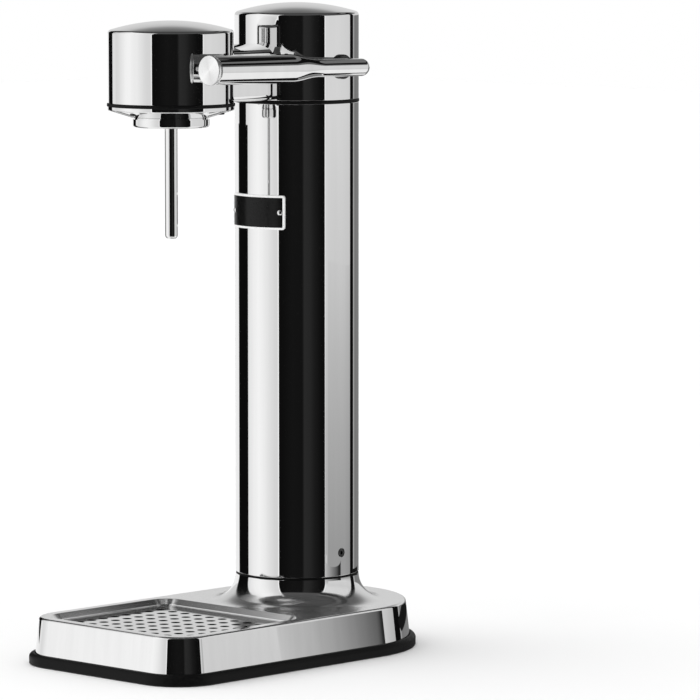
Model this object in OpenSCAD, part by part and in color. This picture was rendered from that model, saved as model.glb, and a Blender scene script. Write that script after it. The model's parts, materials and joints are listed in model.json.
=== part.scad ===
// Lever-operated sparkling water maker: a D-shaped steel base with a drip tray,
// a tall column that houses the gas cylinder, and a carbonating head on a bridge.
// Millimetres, +Z up, front towards -Y, origin under the middle of the base.

/* [Base] */
// Width of the base across the rubber foot
base_w = 153; // [146:1:165]
// Length of the base from front to back
base_l = 258; // [250:1:280]
// Height of the base's flat steel top
base_h = 30; // [28:0.5:36]
// Corner radius at the front of the foot
corner_r = 30; // [26:1:40]
// Height of the rubber foot
foot_h = 7.4; // [6.4:0.2:9]
// How far the rubber stands proud of the steel
foot_proud = 4; // [3:0.25:5]
// Width of the foot's ledge under the base plate
foot_ledge = 6; // [4:0.5:7]
// Thickness of that ledge
ledge_t = 2; // [1.6:0.2:2.6]
// Thickness of the base plate
plate_t = 2; // [1.6:0.2:2.6]
// Inward lean of the steel wall between the foot and the top
wall_lean = 2.6; // [1.6:0.2:3.4]
// Rounding of the top edge of the base
edge_r = 2; // [1:0.25:3]
// Sheet thickness of the base shell
shell_t = 1.6; // [1.2:0.1:2]

/* [Drip tray] */
// Width of the flat rim round the tray opening
rim_w = 7.4; // [6:0.1:9]
// Fall of the 45 degree slope that leads from the rim into the opening
slope_fall = 3.4; // [2.6:0.1:4]
// Flat between the slope and the foot of the collar
collar_gap = 0.4; // [0.2:0.1:3]
// Corner radius at the rear of the tray opening
tray_rear_r = 9; // [8:0.5:14]
// How far the tray's rim lies below the slope
rim_drop = 0.2; // [0.2:0.1:1]
// Sheet thickness of the tray
tray_t = 0.8; // [0.7:0.1:1]
// Width of the ledge that carries the grille
tray_ledge = 2; // [1.6:0.2:3]
// Clearance round the tray and round the grille
lift_gap = 0.3; // [0.3:0.05:0.4]
// How far the grille's top lies below the tray's rim
grille_drop = 0.3; // [0.2:0.1:1]
// Thickness of the grille
grille_t = 1.2; // [1:0.1:1.6]
// Diameter of the drain holes
drain_d = 5.8; // [4.6:0.2:7]
// Spacing of the drain holes across the machine
drain_dx = 11.25; // [9.5:0.05:13]
// Spacing of the drain holes from front to back
drain_dy = 10.05; // [9:0.05:13]
// Least plain margin between the outer holes and the grille's edge
drain_margin = 8.2; // [7.4:0.1:12]
// How far the middle of the holes lies in front of the tray's middle
drain_shift = 2.4; // [0:0.2:4]

/* [Column] */
// Outside diameter of the column
column_d = 79.2; // [77:0.2:82]
// Length of the column tube
column_l = 302.5; // [280:0.5:330]
// Wall of the column tube
column_t = 1.5; // [1.2:0.1:1.8]
// Width of the flat top between the collar's foot and the base's edge
flat_w = 13.3; // [12:0.1:17]
// Thickness of the lower seam
seam_t = 1.3; // [1:0.1:2]
// Thickness of the seals under the cap and the head
gasket_t = 2; // [1.6:0.1:2.6]
// How far the seals stand proud of the steel
gasket_proud = 0.35; // [0.2:0.05:0.8]
// Height of the clamping sleeve inside the column's foot
spigot_h = 71; // [64:1:90]
// Wall of the clamping sleeve
spigot_t = 3; // [2:0.25:3.5]
// Width of the sleeve's foot flange
flange_w = 9; // [8:0.5:11]
// Height of the clamping screws above the lower seam
clamp_rise = 15; // [10:0.5:17]

/* [Badge] */
// Half angle that the badge wraps round the column, in degrees
badge_a = 33.6; // [25:0.1:40]
// Height of the badge
badge_h = 21.7; // [16:0.1:28]
// Height of the badge's middle
badge_z = 282; // [200:1:310]
// Width of the badge's white frame
badge_rim = 1.4; // [1:0.1:2]
// Thickness of the badge
badge_t = 1.8; // [1:0.1:2.2]

/* [Cap and head] */
// Height of the rear cap from its seal to its crown
cap_h = 61.2; // [58:0.2:66]
// Wall of the cap and the head
cap_t = 1.5; // [1.2:0.1:1.8]
// Spherical radius of both crowns
crown_r = 130; // [100:1:160]
// Rounding between the side and the crown
shoulder_r = 2.4; // [1:0.1:3]
// Distance between the column's and the head's axes
head_reach = 112; // [108:0.5:116]
// Outside diameter of the head
head_d = 78.6; // [77:0.2:82]
// Height of the head from its seal to its crown
head_h = 51.3; // [48:0.1:54]
// How much higher the head's seal lies than the cap's
head_lift = 0.9; // [0.4:0.1:1.4]
// Width of the bridge
bridge_w = 29.4; // [26:0.2:32]
// Height of the bridge
bridge_h = 35.7; // [33:0.1:38]
// Radius of the bridge's arched top
bridge_crown = 26; // [24:1:50]
// Rounding of the bridge's long edges
bridge_r = 4; // [2.5:0.25:5]
// Wall of the bridge
bridge_t = 2; // [1.6:0.1:2.4]

/* [Bottle socket] */
// Height of the lip under the head's seal
lip_h = 2.4; // [2:0.1:3]
// Drop of the sloping underside from the lip to the collar
dish_drop = 4.6; // [3.5:0.1:6]
// Thickness of the underside
dish_t = 2.4; // [2:0.1:3]
// Outside diameter of the bottle collar
collar_d = 48; // [46:0.5:50]
// Height of the bottle collar
collar_h = 6; // [5:0.25:8]
// Rounding of the collar's lower edge
collar_r = 1.5; // [0.8:0.1:2]
// Height and depth of the groove between the collar and the underside
collar_groove = 1; // [0.6:0.1:1.4]
// Inside diameter of the bottle socket
socket_d = 38; // [36:0.5:39]
// Depth of the socket above the collar
socket_h = 11.2; // [9:0.2:12.5]
// Thickness of the bottle seal
seal_t = 2; // [1.5:0.1:2.5]
// Reach of the bayonet lugs into the socket
lug_reach = 3; // [2:0.1:3.5]
// Outside diameter of the nozzle tube
nozzle_d = 8; // [7:0.1:9]
// Length of nozzle tube that hangs below the collar
nozzle_hang = 70; // [55:0.5:85]

/* [Lever] */
// Gap between the handle and the wider of column and head
lever_gap = 4.3; // [3.4:0.1:8]
// Height of the lever's pivot above the cap's seal
pivot_rise = 21.2; // [21:0.2:23]
// Length of the lever in front of its pivot
lever_front = 131.2; // [122:0.2:138]
// Length of the lever behind its pivot
lever_back = 9.4; // [8:0.1:12]
// Diameter of the handle
handle_d = 18.2; // [16.5:0.1:19]
// Diameter of the thin rod
rod_d = 11.2; // [10.6:0.1:12.6]
// Where the taper leaves the thin rod, in front of the pivot
taper_at = 33; // [28:0.5:38]
// Length of the taper between rod and handle
taper_l = 29; // [22:0.5:34]
// Thickness of the spun end disc
disc_t = 3; // [2:0.1:4]
// Upward tilt of the lever at rest, in degrees
lever_tilt = 0.9; // [0:0.1:2]
// How far the lever swings down, in degrees
lever_swing = 40; // [30:1:40]
// Diameter of the pivot shaft
shaft_d = 8; // [7:0.1:8.2]
// Radial clearance of the shaft and the plunger
running_gap = 0.05; // [0.02:0.01:0.08]
// Diameter of the black pivot bush
bush_d = 15.6; // [13:0.1:17]
// How far the bush stands out of the cap
bush_proud = 2.7; // [1.5:0.1:4]

/* [Valve] */
// Diameter of the eccentric cam
cam_d = 18; // [17.4:0.1:18.4]
// Offset of the cam's centre from the shaft
cam_offset = 4; // [3.6:0.1:4.2]
// Gap that the cam, plunger and pin keep between them
touch_gap = 0.3; // [0.2:0.05:0.4]
// Thickness of the plunger's head
plunger_head_t = 2.5; // [2:0.1:3]
// Diameter of the plunger's stem
plunger_d = 6; // [5:0.1:6.6]
// Width of the valve block's flange
block_step = 6; // [5.6:0.1:6.6]
// Height of the valve block
block_h = 27.3; // [25:0.1:31]
// Diameter of the cylinder's valve socket
valve_socket_d = 21.6; // [20:0.1:23]
// Thickness of the bulkhead plate under the cap
bulkhead_t = 3.5; // [3:0.1:4]
// Width of the rings that guide the gas cylinder
guide_w = 7.7; // [6.5:0.1:9]
// Wall of the gas cylinder
cylinder_t = 3; // [2.4:0.1:4]
// Diameter of the gas line
line_d = 5; // [4:0.1:6]
// Diameter of the spring's wire
wire_d = 1.2; // [0.8:0.1:1.4]
// Turns of the return spring
spring_turns = 3; // [2:0.5:3]

/* [Screws] */
// Diameter of the screws
screw_d = 3.2; // [2.5:0.1:3.6]
// Diameter of the screw heads
screw_head_d = 5.4; // [5:0.1:6]
// Height of the screw heads
screw_head_h = 1.4; // [1:0.1:1.6]
// Diameter of the screw posts
post_d = 8; // [6.5:0.1:9]

/* [Hidden] */
$fn = 64;
// A little extra for cuts that run past a face
past = 1;
// Room round screw heads, bite of the screws, room between neighbours
head_room = 0.3;
screw_bite = 12;
part_gap = 0.6;
// Plan of the base
half_w = base_w / 2;
front_y = -base_l / 2;
rear_y = base_l / 2;
column_y = rear_y - half_w;
column_r = column_d / 2;
column_in = column_r - column_t;
head_y = column_y - head_reach;
head_r = head_d / 2;
// Steel wall of the base: inset of its outer face from the foot's outline
plate_top = ledge_t + plate_t;
lean = wall_lean / (base_h - foot_h);
lean_a = atan(lean);
function wall_inset(z) = foot_proud + lean * (z - foot_h);
pocket_inset = wall_inset(plate_top);
top_inset = wall_inset(base_h);
edge_z = base_h - edge_r;
edge_u = -wall_inset(edge_z + edge_r * sin(lean_a)) - edge_r * cos(lean_a);
inner_top = base_h - shell_t;
// Concave collar between base and column
flare_out = half_w - top_inset - flat_w;
flare_r = flare_out - column_r;
// Heights from the table upwards
seam_z = base_h + flare_r;
column_z0 = seam_z + seam_t;
column_z1 = column_z0 + column_l;
cap_z = column_z1 + gasket_t;
cap_top = cap_z + cap_h;
head_z = cap_z + head_lift;
head_top = head_z + head_h;
bulkhead_top = cap_z + bulkhead_t;
pivot_z = cap_z + pivot_rise;
// Tray opening
open_inset = top_inset + rim_w + slope_fall;
open_w = base_w - 2 * open_inset;
open_y0 = front_y + open_inset;
open_y1 = column_y - flare_out - collar_gap - slope_fall;
open_r0 = corner_r - open_inset;
slope_a = 45;
slope_z0 = base_h - slope_fall;
// Mitre of the sheet where it bends into the slope
slope_mitre = shell_t * tan(slope_a / 2);
tray_rim_z = slope_z0 - rim_drop;
grille_z1 = tray_rim_z - grille_drop;
grille_z0 = grille_z1 - grille_t;
lip_z0 = tray_rim_z - tray_t;
grille_inset = 2 * lift_gap + tray_t;
drain_first = grille_inset + drain_margin + drain_d / 2;
drain_nx = floor((open_w - 2 * drain_first) / drain_dx);
drain_ny = floor((open_y1 - open_y0 - 2 * drain_first) / drain_dy);
drain_y = (open_y0 + open_y1) / 2 - drain_shift;
// Clamping sleeve and base screws, set out at angles in degrees
spigot_in = column_in - spigot_t;
flange_r = column_in + flange_w;
flange_t = 3;
flange_screw_r = (column_in + flange_r) / 2;
clamp_z = column_z0 + clamp_rise;
clamp_hole_d = screw_head_d + 2 * head_room;
base_post_inset = 2;
base_post_r = half_w - top_inset - shell_t - post_d / 2 - base_post_inset;
base_post_angles = [48, 125, 235, 312];
base_screw_l = plate_t + screw_bite;
// Badge
badge_r = column_r + badge_t;
panel_proud = 0.25;
rim_a = badge_rim / column_r * 180 / PI;
rivet_d = 1.8;
rivet_head_d = 3.4;
rivet_head_h = 1;
rivet_tail = 0.4;
rivet_gap = 0.1;
rivet_a = badge_a - rim_a - (rivet_head_d / 2 + rivet_gap) / column_r * 180 / PI;
// Cap interior, with its posts at angles in degrees
cap_in = column_r - cap_t;
cap_post_inset = 3;
cap_post_r = cap_in - post_d / 2 - cap_post_inset;
cap_post_angles = [50, 130, 230, 310];
gasket_in = 2;
bridge_lift = 0.2;
// Head interior, with its posts at angles in degrees
head_in = head_r - cap_t;
head_post_inset = 2;
head_post_r = head_in - post_d / 2 - head_post_inset;
head_post_angles = [60, 180, 300];
head_gasket_r = head_r + 2 * gasket_proud;
head_gasket_step = 0.5;
// Bottle socket
dish_z1 = head_z - gasket_t;
lip_z = dish_z1 - lip_h;
dish_z0 = lip_z - dish_drop;
lip_edge = 0.6;
lip_out = head_r + gasket_proud;
dish_ring = 0.4;
dish_in = collar_d / 2 + dish_ring;
dish_slope = dish_drop / (lip_out - lip_edge - dish_in);
dish_step = 3;
collar_z0 = dish_z0 - collar_h;
socket_r = socket_d / 2;
socket_wall = 2;
socket_top = dish_z0 + socket_h;
socket_roof = socket_top + socket_wall;
nozzle_r = nozzle_d / 2;
nozzle_wall = 2;
nozzle_bore = nozzle_r - nozzle_wall;
nozzle_step = 3;
nozzle_shoulder = nozzle_r + nozzle_step;
nozzle_tip = collar_z0 - nozzle_hang;
nozzle_block_r = 14;
nozzle_block_h = 20;
nozzle_seat = 8;
// Lever and cam
handle_r = handle_d / 2;
rod_r = rod_d / 2;
lever_x = max(column_r, head_r) + lever_gap + handle_r;
disc_at = lever_front - disc_t;
shaft_r = shaft_d / 2;
shaft_end = 1.5;
bush_r = bush_d / 2;
bush_l = 9;
cam_w = 8;
cam_rest_a = lever_swing / 2;
cam_low = pivot_z + cam_offset * sin(cam_rest_a) - cam_d / 2;
valve_travel = 2 * cam_offset * sin(cam_rest_a);
// Gas line and its nuts
line_r = line_d / 2;
line_wall = 1;
line_bore = line_r - line_wall;
line_rise = 5;
line_bend = 6;
line_z = bulkhead_top + line_rise + line_bend;
line_room = 2.5;
line_hole = line_r + line_room;
nut_wall = 2.1;
nut_r = line_r + nut_wall;
nut_h = 4.5;
// Valve block between the cap's posts, with the line's port near its edge
block_margin = 2.4;
block_flange_r = cap_post_r - screw_head_d / 2 - block_margin;
block_r = block_flange_r - block_step;
valve_screw_r = (block_r + block_flange_r) / 2;
block_z0 = bulkhead_top - block_h;
flange_z0 = cap_z - bulkhead_t;
port_wall = 1.3;
port_rise = 4;
line_reach = block_r - line_bore - port_wall;
line_y = column_y - line_reach;
socket_drop = 10.3;
socket_ceiling = bulkhead_top - socket_drop;
// Plunger and spring, clear of the line's nut
plunger_head_r = line_reach - nut_r - part_gap;
head_face = cam_low - touch_gap;
plunger_under = head_face - plunger_head_t;
plunger_tip = socket_ceiling + valve_travel;
spring_d = plunger_head_r;
spring_z0 = bulkhead_top + wire_d / 2;
spring_z1 = plunger_under - wire_d / 2;
curl_rings = 8;
wire_sides = 6;
// Bracket and clip of the shaft
spring_room = 0.7;
spring_hole = (spring_d + wire_d) / 2 + spring_room;
bracket_rim = 2.7;
bracket_half = max(spring_hole + bracket_rim, bush_r);
bracket_base = 2;
bracket_x = block_r;
bracket_t = 4;
bracket_out = bracket_x + bracket_t;
clip_gap = 0.3;
clip_t = 1;
clip_w = 2.5;
shaft_far = bracket_out + clip_gap + clip_t + shaft_end;
// Gas cylinder, its valve and pin
guide_gap = 0.4;
guide_h = 6;
guide_rise = 20;
cylinder_r = column_in - guide_w - guide_gap;
cylinder_lift = 2;
cylinder_z0 = plate_top + cylinder_lift;
hatch_r = (cylinder_r + spigot_in) / 2;
neck_r = 14;
neck_bore = 8;
neck_gap = 0.7;
neck_top = block_z0 - neck_gap;
neck_l = 12;
neck_edge = 2;
shoulder_z = neck_top - neck_l - (cylinder_r - neck_r) * 1.2;
foot_round = 5;
foot_dish = 2;
// The upper guide ring's top is level with the badge's lower edge, clear of its rivets
guide_z = [spigot_h + guide_rise, badge_z - badge_h / 2 - guide_h];
valve_gap = 0.3;
valve_r = valve_socket_d / 2 - valve_gap;
valve_drop = 0.5;
valve_top = socket_ceiling - valve_drop;
pin_top = plunger_tip - touch_gap;
pin_r = 2;
pin_l = 8;
pin_room = 1;

// Points along an arc about c, from angle a0 to a1
function arc(c, r, a0, a1, n = 8) =
    [for (i = [0:n]) let (a = a0 + (a1 - a0) * i / n) c + r * [cos(a), sin(a)]];

module at_column() {
    translate([0, column_y, 0]) children();
}

module at_head() {
    translate([0, head_y, 0]) children();
}

// Upright cylinder between two heights
module rod_z(r, z0, z1) {
    translate([0, 0, z0]) cylinder(r = r, h = z1 - z0);
}

module tube_z(r, bore, z0, z1) {
    difference() {
        rod_z(r, z0, z1);
        rod_z(bore, z0 - past, z1 + past);
    }
}

// Copies set out on a circle, angles counted from +Y
module round_about(r, angles) {
    for (a = angles) translate([r * sin(a), r * cos(a), 0]) children();
}

// Solid on a plan of width w between y0 and y1, with corner radii r0 at the
// front and r1 at the rear. pts gives its side from bottom to top as [offset, z],
// where the offset is measured outwards from the plan.
module plan_form(w, y0, y1, r0, r1, pts) {
    z0 = pts[0].y;
    z1 = pts[len(pts) - 1].y;
    down = [for (i = [len(pts) - 1:-1:0]) pts[i]];
    for (side = [0, 1]) {
        translate([(w / 2 - r0) * (2 * side - 1), y0 + r0, 0])
            rotate([0, 0, side == 1 ? -90 : 180])
            rotate_extrude(angle = 90)
            polygon(concat([[0, z0]], [for (p = pts) [r0 + p.x, p.y]], [[0, z1]]));
        translate([(w / 2 - r1) * (2 * side - 1), y1 - r1, 0])
            rotate([0, 0, side == 1 ? 0 : 90])
            rotate_extrude(angle = 90)
            polygon(concat([[0, z0]], [for (p = pts) [r1 + p.x, p.y]], [[0, z1]]));
    }
    translate([0, y1 - r1, 0]) rotate([90, 0, 0]) linear_extrude(y1 - r1 - y0 - r0)
        polygon(concat([for (p = pts) [w / 2 + p.x, p.y]], [for (p = down) [-w / 2 - p.x, p.y]]));
    translate([-(w / 2 - r0), 0, 0]) rotate([90, 0, 90]) linear_extrude(w - 2 * r0)
        polygon(concat([[y0 + r0, z0]], [for (p = pts) [y0 - p.x, p.y]], [[y0 + r0, z1]]));
    if (w / 2 > r1)
        translate([-(w / 2 - r1), 0, 0]) rotate([90, 0, 90]) linear_extrude(w - 2 * r1)
            polygon(concat([[y1 - r1, z0]], [for (p = pts) [y1 + p.x, p.y]], [[y1 - r1, z1]]));
}

// The base's D-shaped plan: a full half round at the rear
module base_form(pts) {
    plan_form(base_w, front_y, rear_y, corner_r, half_w, pts);
}

module tray_form(pts) {
    plan_form(open_w, open_y0, open_y1, open_r0, tray_rear_r, pts);
}

function straight(u, z0, z1) = [[u, z0], [u, z1]];

// Screw standing on z = 0 with its head below
module screw(l) {
    rod_z(screw_head_d / 2, -screw_head_h, 0);
    rod_z(screw_d / 2, 0, l);
}

module screw_hole(l) {
    rod_z(screw_d / 2, -past, l);
}

module rubber_foot() {
    toe = 1.2;
    bead = 2.8;
    color([0.03, 0.03, 0.03]) difference() {
        base_form(concat(
            arc([-toe, toe], toe, -90, 0, 4),
            arc([-bead, foot_h - bead], bead, 0, 90, 6)));
        base_form(straight(-pocket_inset, ledge_t, foot_h + past));
        base_form(straight(-pocket_inset - foot_ledge, -past, foot_h));
    }
}

module base_plate() {
    color("gainsboro") difference() {
        base_form(straight(-pocket_inset, ledge_t, plate_top));
        at_column() {
            rod_z(hatch_r, 0, plate_top + past);
            round_about(base_post_r, base_post_angles) rod_z(screw_d / 2, 0, plate_top + past);
            round_about(flange_screw_r, [45:90:315]) rod_z(screw_d / 2, 0, plate_top + past);
        }
    }
}

module flare_collar() {
    middle = [flare_out, seam_z];
    at_column() rotate_extrude()
        polygon(concat(arc(middle, flare_r, 180, 270, 12),
            [[flare_out + shell_t, base_h], [flare_out + shell_t, inner_top]],
            arc(middle, flare_r + shell_t, 270, 180, 12)));
}

module base_shell() {
    color("silver") difference() {
        union() {
            difference() {
                base_form(concat([[-pocket_inset, plate_top]],
                    arc([edge_u, edge_z], edge_r, lean_a, 90, 6)));
                base_form([[-wall_inset(plate_top - past) - shell_t, plate_top - past],
                    [-wall_inset(inner_top) - shell_t, inner_top]]);
                at_column() rod_z(flare_out, inner_top - past, base_h + past);
            }
            flare_collar();
            tray_form([[shell_t, lip_z0], [shell_t, slope_z0 - slope_mitre],
                [slope_fall + slope_mitre, inner_top], [slope_fall + slope_mitre, base_h - shell_t / 2]]);
            at_column() round_about(base_post_r, base_post_angles)
                rod_z(post_d / 2, plate_top, base_h - shell_t / 2);
        }
        tray_form([[0, lip_z0 - past], [0, slope_z0], [slope_fall, base_h], [slope_fall, base_h + past]]);
        at_column() {
            rod_z(column_in, base_h, seam_z + past);
            round_about(base_post_r, base_post_angles)
                rod_z(screw_d / 2, plate_top - past, ledge_t + base_screw_l);
        }
    }
}

module base_screws() {
    color("dimgray") at_column() round_about(base_post_r, base_post_angles)
        translate([0, 0, ledge_t]) screw(base_screw_l);
}

module column_spigot() {
    color("darkgray") at_column() difference() {
        union() {
            rod_z(flange_r, plate_top, plate_top + flange_t);
            rod_z(column_in, plate_top, plate_top + spigot_h);
        }
        rod_z(spigot_in, plate_top - past, plate_top + spigot_h + past);
        round_about(flange_screw_r, [45:90:315]) rod_z(screw_d / 2, 0, plate_top + flange_t + past);
        for (side = [-1, 1]) translate([side * spigot_in, 0, clamp_z]) rotate([0, side * 90, 0])
            screw_hole(spigot_t + past);
    }
}

module spigot_screws() {
    color("dimgray") at_column() round_about(flange_screw_r, [45:90:315])
        translate([0, 0, ledge_t]) screw(plate_t + flange_t);
}

module lower_gasket() {
    color([0.03, 0.03, 0.03]) at_column()
        tube_z(column_r - gasket_proud / 2, column_in, seam_z, column_z0);
}

module column_tube() {
    color("silver") at_column() difference() {
        tube_z(column_r, column_in, column_z0, column_z1);
        for (side = [-1, 1]) {
            translate([0, 0, clamp_z]) rotate([0, side * 90, 0])
                rod_z(clamp_hole_d / 2, column_in - past, column_r + past);
            translate([0, 0, badge_z]) rotate([90, 0, side * rivet_a])
                rod_z(rivet_d / 2, column_in - past, column_r + past);
        }
    }
}

module column_screws() {
    color("dimgray") at_column() for (side = [-1, 1])
        translate([side * column_in, 0, clamp_z]) rotate([0, -side * 90, 0]) screw(spigot_t);
}

// Sector of a tube at the column's front, within angles +-a and a height about badge_z
module badge_sector(r0, r1, a, h) {
    at_column() translate([0, 0, badge_z - h / 2]) rotate([0, 0, 270 - a])
        rotate_extrude(angle = 2 * a) translate([r0, 0]) square([r1 - r0, h]);
}

module badge_plate() {
    color([0.05, 0.05, 0.05]) difference() {
        badge_sector(column_r, badge_r - panel_proud, badge_a - rim_a, badge_h - 2 * badge_rim);
        at_column() for (side = [-1, 1]) translate([0, 0, badge_z]) rotate([90, 0, side * rivet_a])
            rod_z(rivet_d / 2, column_in, badge_r + past);
    }
}

module badge_frame() {
    color("white") difference() {
        badge_sector(column_r, badge_r, badge_a, badge_h);
        badge_sector(column_in, badge_r + past, badge_a - rim_a, badge_h - 2 * badge_rim);
    }
}

module badge_rivets() {
    seat = badge_r - panel_proud;
    color("silver") at_column() for (side = [-1, 1])
        translate([0, 0, badge_z]) rotate([90, 0, side * rivet_a]) {
            rod_z(rivet_d / 2, column_in - rivet_tail, seat + rivet_head_h / 2);
            rotate_extrude() polygon([[0, seat], [rivet_head_d / 2, seat],
                [rivet_head_d / 2, seat + rivet_tail], [rivet_head_d / 4, seat + rivet_head_h],
                [0, seat + rivet_head_h]]);
        }
}

module cylinder_guides() {
    color("dimgray") at_column() for (z = guide_z)
        tube_z(column_in, cylinder_r + guide_gap, z, z + guide_h);
}

module upper_gasket() {
    color([0.03, 0.03, 0.03]) at_column()
        tube_z(column_r + gasket_proud, column_in - gasket_in, column_z1, cap_z);
}

module bulkhead() {
    color("darkgray") at_column() difference() {
        tube_z(cap_in, block_r, cap_z, bulkhead_top);
        round_about(cap_post_r, cap_post_angles) rod_z(screw_d / 2, cap_z - past, bulkhead_top + past);
        round_about(valve_screw_r, [45:90:315]) rod_z(screw_d / 2, cap_z - past, bulkhead_top + past);
    }
}

module valve_block() {
    color("goldenrod") at_column() difference() {
        union() {
            rod_z(block_r, block_z0, bulkhead_top);
            rod_z(block_flange_r, flange_z0, cap_z);
        }
        rod_z(valve_socket_d / 2, block_z0 - past, socket_ceiling);
        rod_z(plunger_d / 2 + running_gap, socket_ceiling - past, bulkhead_top + past);
        translate([0, -line_reach, 0]) rod_z(line_bore, socket_ceiling + port_rise, bulkhead_top + past);
        translate([0, 0, socket_ceiling + port_rise]) rotate([90, 0, 0]) rod_z(line_bore, 0, line_reach);
        round_about(valve_screw_r, [45:90:315]) rod_z(screw_d / 2, flange_z0 - past, cap_z + past);
    }
}

module valve_screws() {
    color("dimgray") at_column() round_about(valve_screw_r, [45:90:315])
        translate([0, 0, flange_z0]) screw(bulkhead_top - flange_z0);
}

module shaft_bracket() {
    color("darkgray") at_column() difference() {
        union() {
            translate([-bracket_out, -bracket_half, bulkhead_top])
                cube([2 * bracket_out, 2 * bracket_half, bracket_base]);
            for (x = [-bracket_out, bracket_x]) {
                translate([x, -bush_r, bulkhead_top]) cube([bracket_t, bush_d, pivot_z - bulkhead_top]);
                translate([x, 0, pivot_z]) rotate([0, 90, 0]) rod_z(bush_r, 0, bracket_t);
            }
        }
        rod_z(spring_hole, bulkhead_top - past, bulkhead_top + bracket_base + past);
        translate([0, 0, pivot_z]) rotate([0, 90, 0])
            rod_z(shaft_r + running_gap, -bracket_out - past, bracket_out + past);
    }
}

// Side and crown of a domed can: radius r from z0 up to a spherical crown at top
function can_side(r, z0, top) =
    let (b = asin((r - shoulder_r) / (crown_r - shoulder_r)),
        middle = top - crown_r,
        corner = [r - shoulder_r, middle + (crown_r - shoulder_r) * cos(b)])
    concat([[0, z0], [r, z0]], arc(corner, shoulder_r, 0, 90 - b, 5),
        arc([0, middle], crown_r, 90 - b, 90, 12));

function can_hollow(r, z0, top) =
    let (inside = crown_r - cap_t, middle = top - crown_r, b = asin(r / inside))
    concat([[0, z0 - past], [r, z0 - past]], arc([0, middle], inside, 90 - b, 90, 12));

module rear_cap() {
    color("silver") at_column() difference() {
        rotate_extrude() polygon(can_side(column_r, cap_z, cap_top));
        difference() {
            rotate_extrude() polygon(can_hollow(cap_in, cap_z, cap_top));
            round_about(cap_post_r, cap_post_angles) rod_z(post_d / 2, bulkhead_top, cap_top);
        }
        round_about(cap_post_r, cap_post_angles) rod_z(screw_d / 2, cap_z, bulkhead_top + screw_bite);
        translate([0, 0, pivot_z]) rotate([0, 90, 0]) rod_z(bush_r, column_in - bush_l, column_r + past);
        translate([0, 0, line_z]) rotate([90, 0, 0]) rod_z(line_hole, cap_in - cap_t, column_r + past);
    }
}

module cap_screws() {
    color("dimgray") at_column() round_about(cap_post_r, cap_post_angles)
        translate([0, 0, cap_z]) screw(bulkhead_t + screw_bite);
}

module lever_bush() {
    color([0.04, 0.04, 0.04]) at_column() translate([0, 0, pivot_z]) rotate([0, 90, 0])
        tube_z(bush_r, shaft_r + running_gap, column_r + bush_proud - bush_l, column_r + bush_proud);
}

// Section of the bridge, drawn in by t from its outside: an arched top on a rounded box
function bridge_half(t) =
    let (w = bridge_w / 2 - t, f = bridge_r - t / 2, big = bridge_crown - t,
        z0 = cap_z + bridge_lift + t, z1 = cap_z + bridge_lift + bridge_h - t,
        middle = z1 - big, a = acos((w - f) / (big - f)))
    concat(arc([w - f, z0 + f], f, -90, 0, 5),
        arc([w - f, middle + (big - f) * sin(a)], f, 0, a, 5),
        arc([0, middle], big, a, 90, 6));

module bridge_bar(t) {
    half = bridge_half(t);
    translate([0, column_y, 0]) rotate([90, 0, 0]) linear_extrude(head_reach)
        polygon(concat(half, [for (i = [len(half) - 2:-1:0]) [-half[i].x, half[i].y]]));
}

module bridge() {
    color("silver") difference() {
        bridge_bar(0);
        bridge_bar(bridge_t);
        at_column() rod_z(column_r, cap_z - past, cap_top);
        at_head() {
            rod_z(head_r, cap_z - past, head_top);
            rod_z(head_gasket_r + bridge_lift, cap_z - past, head_z + bridge_lift);
        }
    }
}

module gas_line() {
    run = line_y - line_bend - head_y - nozzle_block_r;
    color("gainsboro") translate([0, line_y, bulkhead_top]) {
        tube_z(line_r, line_bore, 0, line_rise);
        translate([0, -line_bend, line_rise]) rotate([90, 0, 90]) rotate_extrude(angle = 90)
            translate([line_bend, 0]) difference() {
                circle(line_r);
                circle(line_bore);
            }
        translate([0, -line_bend, line_rise + line_bend]) rotate([90, 0, 0])
            tube_z(line_r, line_bore, 0, run);
    }
}

module union_nut() {
    difference() {
        cylinder(r = nut_r, h = nut_h, $fn = 6);
        rod_z(line_r, -past, nut_h + past);
    }
}

module gas_unions() {
    color("goldenrod") {
        translate([0, line_y, bulkhead_top]) union_nut();
        translate([0, head_y + nozzle_block_r, line_z]) rotate([-90, 0, 0]) union_nut();
    }
}

module head_shell() {
    color("silver") at_head() difference() {
        rotate_extrude() polygon(can_side(head_r, head_z, head_top));
        difference() {
            rotate_extrude() polygon(can_hollow(head_in, head_z, head_top));
            round_about(head_post_r, head_post_angles) rod_z(post_d / 2, dish_z1, head_top);
        }
        round_about(head_post_r, head_post_angles) rod_z(screw_d / 2, head_z - past, dish_z1 + screw_bite);
        translate([0, 0, line_z]) rotate([-90, 0, 0]) rod_z(line_hole, head_in - cap_t, head_r + past);
    }
    color("silver") at_head() round_about(head_post_r, head_post_angles)
        tube_z(post_d / 2, screw_d / 2, dish_z1, head_z + past);
}

module head_gasket() {
    color([0.03, 0.03, 0.03]) at_head()
        tube_z(head_gasket_r, head_in - head_gasket_step, dish_z1, head_z);
}

function dish_under(r) = dish_z0 + (r - dish_in) * dish_slope;

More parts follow.
